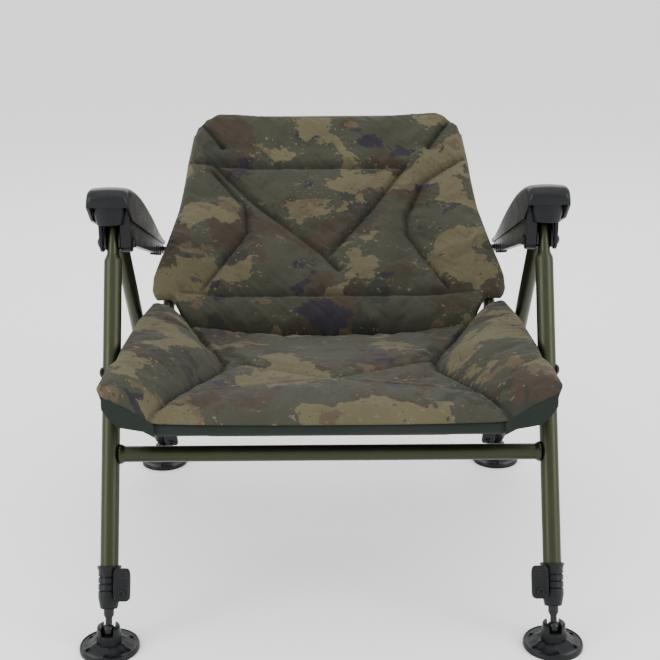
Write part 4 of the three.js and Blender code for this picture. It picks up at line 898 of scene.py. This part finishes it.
def back_grid(u, v):
    """Places across and up the back: closer together at the rim, with the lower corners cut away."""
    s = 2 * u - 1
    s = s * (1.2 - 0.2 * s ** 2)
    foot = -30 + 44 * ease(np.abs(s), 0.84, 0.92)
    up = foot + (back_top - foot) * (v + 0.12 * v * (1 - v) * (2 * v - 1))
    half = np.interp(up, [-30, 0, 14, 22, 34, 55, 103, 144, 199, 285, 347, 369, 383, 393, 399],
                     [262, 268, 270, 276, 280, 279.5, 267, 259, 249, 238, 230, 224, 212, 192, 172])
    return s, up, half, foot


def back_face(u, v, layer):
    """Back cloth in millimetres up the back: it sags between the side tubes, curls back below the lowest
    seam on to the seat, and fills out between its seams."""
    s, up, half, foot = back_grid(u, v)
    x = s * half
    up = up - 7 * np.exp(-(x / 70) ** 2) * ease(up, 330, 399)
    sides = ease(np.abs(s), 0.5, 0.95)
    head = ease(up, 300, 380)
    front = np.interp(up, [-30, 0, 60, 200, 400], [13, 14, 15, 16, 20]) + sides * np.interp(
        up, [-30, 14, 74, 90, 200, 320, 400], [14, 8, 17, 18, 15, 12, 8]) + 1 * head
    curl = 34 * np.clip((22 - up) / 52, 0, 1) ** 1.6 * (1 - 0.35 * sides)
    gap = seam_gap(x, up, back_seams)
    light = seam_gap(x, up, head_seam)
    bulge = (9 * (1 - np.exp(-gap / 28)) + 2 * head) * (1 - 0.6 * sides * (1 - ease(up, 30, 80)))
    pucker = (1.2 * np.exp(-gap / 13) + 0.4) \
        * np.sin(x * 0.29 + up * 0.37 + np.sin(x * 0.07 + up * 0.09) * 3)
    to_rim = np.minimum.reduce([half - np.abs(x), back_top - up, (up - foot) * 1.2])
    body = np.sqrt(np.clip(1 - (1 - np.clip(to_rim / 24, 0, 1)) ** 2, 0, 1))
    upper = front - 13 + (13 + bulge + pucker) * body - 9.5 * np.exp(-(gap / 5.5) ** 2) * body \
        - 3.5 * np.exp(-(light / 7) ** 2) * body
    over_tube = -14 + 25 * ease(np.abs(x), 150, 218)
    low = np.maximum(front - 13 - 13 * body, over_tube)
    out = np.maximum(upper, low + 7 * body) if layer else low
    curl = curl * (1 - ease(np.abs(x), 222, 238))
    return on_back(x, up, out - curl), mm * np.stack([x, up * 1.02 + 520], -1)


def back_sewn(u, v):
    """Millimetres to the nearest seam, where the cloth gets painted shade; the soft one counts as further
    off.
    """
    s, up, half, _ = back_grid(u, v)
    return np.minimum(seam_gap(s * half, up, back_seams), seam_gap(s * half, up, head_seam) + 3)


def back_hold(u, v):
    """1 at a seam or the rim, which stay, down to 0 about 9 mm away; the soft seam holds less."""
    s, up, half, foot = back_grid(u, v)
    gap = np.minimum(seam_gap(s * half, up, back_seams),
                     np.minimum.reduce([half * (1 - np.abs(s)), back_top - up, up - foot]))
    light = seam_gap(s * half, up, head_seam)
    return np.clip(np.maximum(1.05 - gap / 9, 0.6 - light / 12), 0, 1)


back = cushion("back_pad", back_face, 140, 118, back_hold, back_sewn, 8)
fit(back, "back", "cushion_cloth", "back_cushion")

# Seat sling: dark cloth hung between the rails under the cushion, sleeved round the front bar, where it
# shows as the dark hem under the cushion's edge.
sling_half, hem_radius = 262, 11.6
x = sling_half * np.linspace(-1, 1, 121)[:, None]
lift = 38 * ease(np.abs(x), 222, 274)
turn = np.radians(np.linspace(-90, 95, 22))[None, :]
round_y = bar_y - hem_radius * np.cos(turn) * np.ones_like(x)
round_z = bar_z + lift + hem_radius * np.sin(turn)
back_y = np.linspace(388, 34, 40)[None, :] * np.ones_like(x)
hang = slung(x, back_y)
sling_grid = np.stack(np.broadcast_arrays(x, np.concatenate([back_y, round_y], 1),
                                          np.concatenate([hang, round_z], 1)), -1)
sling = stretch("sling", mm * (sling_grid - [0, ball_ahead, 0]))
sling.data.shade_smooth()
sling.data.materials.append(backing)
wall = sling.modifiers.new("cloth", "SOLIDIFY")
wall.thickness, wall.offset = 1.6 * mm, 0
fit(sling, "seat", "sling_cloth", "seat_sling")

# Corner gussets: dark cloth sewn between the cushion's front corners and the sleeve of the front bar,
# which hides the ends of the side tubes.
for side in (-1, 1):
    a = np.linspace(226, 292, 40)[:, None]
    rise = np.linspace(0, 1, 16)[None, :]
    foot = np.interp(a, [226, 240, 272, 284, 292], [304, 312, 318, 330, 343])
    crest = np.interp(a, [226, 240, 262, 287, 295], [321, 331, 345, 357, 364])
    sway = 1.1 * np.sin(a * 0.21 + rise * 2) * np.sin(np.pi * rise)
    grid = np.stack([side * a * np.ones_like(rise), 11.4 + sway, foot + (crest - foot) * rise], -1)
    gusset = stretch(f"corner_gusset_{hand(side)}", mm * (grid - [0, ball_ahead, 0]))
    gusset.data.shade_smooth()
    gusset.data.materials.append(backing)
    wall = gusset.modifiers.new("cloth", "SOLIDIFY")
    wall.thickness, wall.offset = 1.0 * mm, 0
    fit(gusset, "seat", "sling_cloth")
